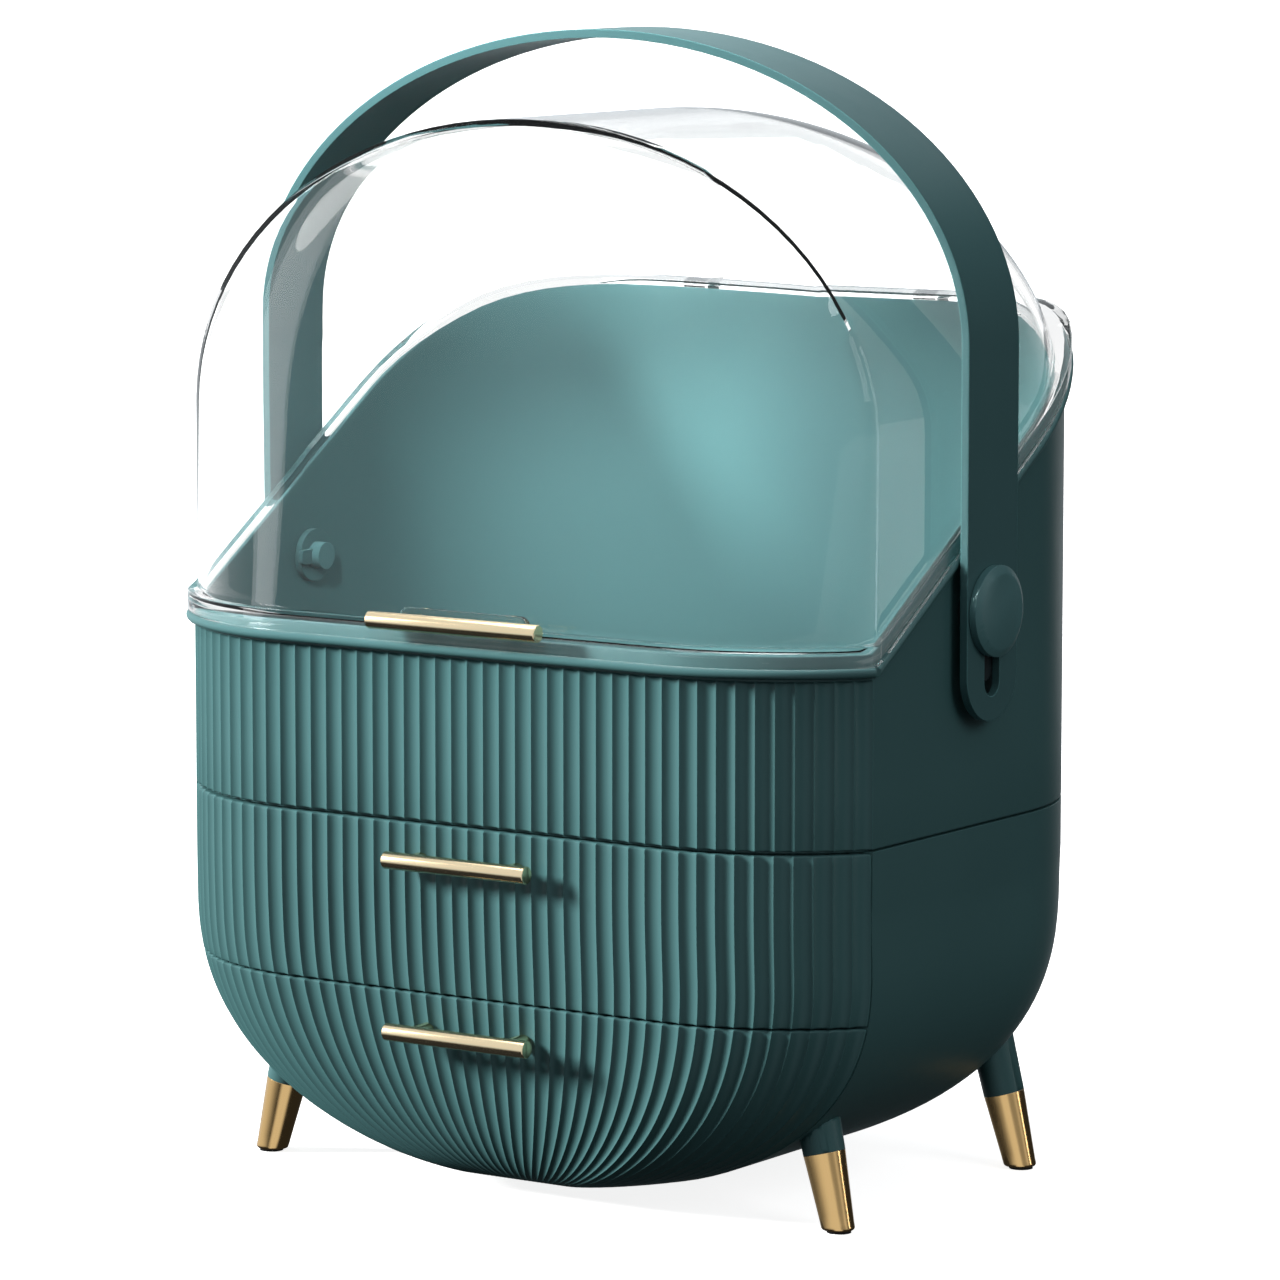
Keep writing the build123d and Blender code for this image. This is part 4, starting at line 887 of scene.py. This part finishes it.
def domePoint(column, level, wall):
    # level below 0 is the straight side, 0 to 1 climbs the arch
    turn = max(level, 0.0) * pi / 2
    rise = (lidLook["rise"] - wall) * sin(turn) if level > 0 else level * lidLook["sideDrop"]
    height = lidLook["springHeight"] + rise
    return *domeLoop(height, turn, wall)[column], height


def domeStart(column, wall, aboveRim):
    # the level at which this column meets the flange, found step by step
    level = -1.0
    for attempt in range(lidLook["seekRounds"]):
        height = rimHeight(domePoint(column, level, wall)[1]) + aboveRim
        over = height - lidLook["springHeight"]
        if over <= 0:
            level = over / lidLook["sideDrop"]
        else:
            level = asin(min(1.0, over / (lidLook["rise"] - wall))) / (pi / 2)
    return level


def lidColumn(column):
    # from the apex down the outside, round the flange and its tab, and up the inside
    look = lidLook
    outer, ring, edge, rest = look["projection"], look["flangeHeight"], look["edge"], look["restGap"]
    steps, quarter = look["archSteps"], [pi / 2 * step / 4 for step in range(5)]
    start = domeStart(column, 0.0, ring)
    points = [domePoint(column, start + (1 - start) * (1 - step / steps), 0.0) for step in range(steps + 1)]
    tab = ring
    if column < len(frontXs) and frontXs[column] <= look["tabHalf"]:
        inCorner = max(0.0, frontXs[column] - look["tabHalf"] + look["tabCorner"])
        tab = look["tabTop"] - look["tabCorner"] + sqrt(look["tabCorner"] ** 2 - inCorner ** 2)
        tab -= bodyPlan["rimFront"]
    flange = [(0.0, ring), (0.0, tab - edge if tab > ring else ring)]
    if tab > ring:
        flange += [(-edge * (1 - cos(angle)), tab - edge + edge * sin(angle)) for angle in quarter[1:]]
    else:
        flange += [(-edge * step / 4, ring) for step in range(1, 5)]
    flange += [(-outer + edge * (1 - sin(angle)), tab - edge + edge * cos(angle)) for angle in quarter]
    flange += [(-outer, ring - edge), (-outer, rest + edge), (-outer + edge, rest), (0.0, rest),
               (0.0, ring - look["web"])]
    for inset, aboveRim in flange:
        x, y = flangeLoop(inset)[column]
        points.append((x, y, rimHeight(y) + aboveRim))
    start = domeStart(column, look["wall"], ring - look["web"])
    points += [domePoint(column, start + (1 - start) * step / steps, look["wall"])
               for step in range(steps + 1)]
    return points


def makeLid():
    look = lidLook
    half = [lidColumn(column) for column in range(len(frontXs) + sum(lidColumns.values()) + 1)]
    rows = len(half[0])
    points = [(x, y - midDepth, z) for column in half for x, y, z in column]
    points += [(-x, y, z) for x, y, z in points]
    faces = []
    for number in range(2 * len(half)):
        if number % len(half) < len(half) - 1:
            first = number * rows
            faces += [(a, a + 1, a + 1 + rows, a + rows) for a in range(first, first + rows - 1)]
    mesh = bpy.data.meshes.new("clearDome")
    mesh.from_pydata(points, [], faces)
    tidyMesh(mesh, look["smoothAngle"], look["mergeReach"])
    # arms and eyes of the hinge come from the frame's own lid, cut just behind the body
    arms = openMesh(mergedCopy("clear_lid"))
    bmesh.ops.bisect_plane(arms, geom=arms.verts[:] + arms.edges[:] + arms.faces[:],
                           plane_co=(0, bodyPlan["depth"] + look["armStart"] - midDepth, 0),
                           plane_no=(0, 1, 0), clear_inner=True)
    beside = [vert for vert in arms.verts if abs(abs(vert.co.x) - look["armX"]) > look["armHalf"]]
    bmesh.ops.delete(arms, geom=beside, context="VERTS")
    bmesh.ops.holes_fill(arms, edges=[edge for edge in arms.edges if edge.is_boundary])
    arms.from_mesh(mesh)
    shadeSmooth(closeMesh(arms, mesh), look["smoothAngle"])
    return mesh


dome = placePiece("clearDome", makeLid(), "clear_lid")
dome.visible_shadow = False  # light reaches the tray straight through it
dome.visible_diffuse = False
print("clear lid made")


# camera, floor and light
cameraLook = {"place": (1.1963, -1.76975, 0.4540), "turn": (90 - 7.38, 0, 34.10), "lens": 180.8,
              "sensor": 36, "farEnd": 200}
cameraData = bpy.data.cameras.new("photoCamera")
cameraData.lens = cameraLook["lens"]
cameraData.sensor_width = cameraLook["sensor"]
cameraData.clip_end = cameraLook["farEnd"]
camera = addObject("photoCamera", cameraData)
camera.location = cameraLook["place"]
camera.rotation_euler = [radians(angle) for angle in cameraLook["turn"]]
scene.camera = camera

studio = {"keyStrength": 8.4, "keyAngle": 14, "keyTurn": (68, 0, -56), "keyColour": (1.0, 0.99, 0.97),
          "floorReach": 60.0, "floorColour": (0.82, 0.82, 0.82, 1), "floorRoughness": 0.95,
          "floorGlow": 0.86, "skyLow": 0.025, "skyTop": 0.30, "skyRange": (-0.25, 0.7),
          "skyTint": (0.93, 1.0, 1.05), "backdrop": 1.0, "glossDark": 0.03, "gloss": 0.84}
# what gloss sees: directions, and the cosines or heights between which each part fades
glossRoom = {"darkSide": (0.556, 0.824, -0.11), "darkRange": (0.45, 0.9), "band": (0.93, -0.36, -0.08),
             "bandRange": (0.90, 0.99), "bandLow": 0.4, "groundRange": (-0.42, -0.12),
             "lowGlow": (0.50, -0.75, -0.43), "glowRange": (0.80, 0.96)}
unseenByGloss, onlyForGloss = {"visible_glossy": False}, {"visible_diffuse": False}
panels = {
    "topPanel": {"place": (-0.25, -0.1, 1.5), "target": (0, 0, 0.1), "size": 1.0, "size_y": 1.0, "power": 9},
    "leftPanel": {"place": (-1.5, -1.1, 0.65), "target": (0, 0, 0.2), "size": 0.45, "size_y": 1.2,
                  "power": 6, **onlyForGloss},
    "rightFill": {"place": (2.2, -0.4, 1.3), "target": (0, 0, 0.2), "size": 1.2, "size_y": 1.2,
                  "power": 13, **unseenByGloss},
    "edgePanel": {"place": (1.36, 0.62, 0.45), "target": (0, 0, 0.2), "size": 0.16, "size_y": 1.2,
                  "power": 2.2, **onlyForGloss},
    "rearPanel": {"place": (-0.1, 1.7, 0.5), "target": (0, 0, 0.2), "size": 0.3, "size_y": 1.2,
                  "power": 0.7, **onlyForGloss}}
spotLook = {"spot_blend": 0.8, "shadow_soft_size": 0.08, **unseenByGloss}
spots = {
    "traySpot": {"place": (-0.15, -0.6, 0.9), "target": (-0.04, 0.09, 0.22), "power": 52,
                 "spot_size": radians(18), **spotLook},
    "trayFill": {"place": (0.3, -0.75, 0.72), "target": (-0.08, 0.09, 0.2), "power": 62,
                 "spot_size": radians(15), **spotLook}}


def addLight(name, kind, power, place=None, target=None, **settings):
    data = bpy.data.lights.new(name, kind)
    data.energy = power
    light = addObject(name, data)
    for key, value in settings.items():
        setattr(data if hasattr(data, key) else light, key, value)
    if place:
        light.location = place
        light.rotation_euler = (Vector(target) - Vector(place)).to_track_quat("-Z", "Y").to_euler()
    return light


keyLight = addLight("keyLight", "SUN", studio["keyStrength"], angle=radians(studio["keyAngle"]),
                    color=studio["keyColour"], **unseenByGloss)
keyLight.rotation_euler = [radians(angle) for angle in studio["keyTurn"]]
for name, settings in panels.items():
    addLight(name, "AREA", shape="RECTANGLE", **settings)
for name, settings in spots.items():
    addLight(name, "SPOT", **settings)

floorMesh = bpy.data.meshes.new("studioFloor")
reach = studio["floorReach"]
corners = [(-reach, -reach, 0), (reach, -reach, 0), (reach, reach, 0), (-reach, reach, 0)]
floorMesh.from_pydata(corners, [], [(0, 1, 2, 3)])
floor = addObject("studioFloor", floorMesh)
floorMaterial = bpy.data.materials.new("floorPaper")
floorMaterial.use_nodes = True
paperTree = floorMaterial.node_tree
fill(paperTree, paperTree.nodes["Principled BSDF"], {
    "Base Color": studio["floorColour"], "Roughness": studio["floorRoughness"],
    "Specular IOR Level": 0.0, "Emission Color": (1, 1, 1, 1), "Emission Strength": studio["floorGlow"]})
floorMesh.materials.append(floorMaterial)
floor.visible_diffuse = False  # the photograph's underside is dark: the paper gives no light back
floor.visible_glossy = False

# the room: white to the eye and through clear plastic, a soft sky for everything else
world = bpy.data.worlds.new("studioWorld")
scene.world = world
world.use_nodes = True
sky = world.node_tree
sky.nodes.clear()
path = sky.nodes.new("ShaderNodeLightPath").outputs
seen = calc(sky, "MAXIMUM", path["Is Camera Ray"], path["Is Transmission Ray"])
outward = sky.nodes.new("ShaderNodeTexCoord").outputs["Generated"]
upward = addNode(sky, "ShaderNodeSeparateXYZ", {0: outward}).outputs["Z"]
softSky = mapRange(sky, upward, studio["skyRange"], (studio["skyLow"], studio["skyTop"]))
# gloss sees white card all round, but for a dark side, a grey band and the ground
soft = partial(mapRange, sky, kind="SMOOTHSTEP")
darkSide = soft(dot(sky, outward, glossRoom["darkSide"]), glossRoom["darkRange"], (1.0, 0.0))
greyBand = soft(dot(sky, outward, glossRoom["band"]), glossRoom["bandRange"], (1.0, glossRoom["bandLow"]))
ground = soft(upward, glossRoom["groundRange"])
glow = soft(dot(sky, outward, glossRoom["lowGlow"]), glossRoom["glowRange"])
card = calc(sky, "MULTIPLY", calc(sky, "MULTIPLY", darkSide, greyBand), calc(sky, "MAXIMUM", ground, glow))
glossSky = mapRange(sky, card, (0.0, 1.0), (studio["glossDark"], studio["gloss"]))
lit = blend(sky, path["Is Glossy Ray"], softSky, glossSky)
shine = addNode(sky, "ShaderNodeBackground", {
    "Color": blendColour(sky, seen, studio["skyTint"], (1.0, 1.0, 1.0)),
    "Strength": blend(sky, seen, lit, studio["backdrop"])})
addNode(sky, "ShaderNodeOutputWorld", {"Surface": shine.outputs[0]})
scene.view_settings.view_transform = "Standard"
print("studio set")
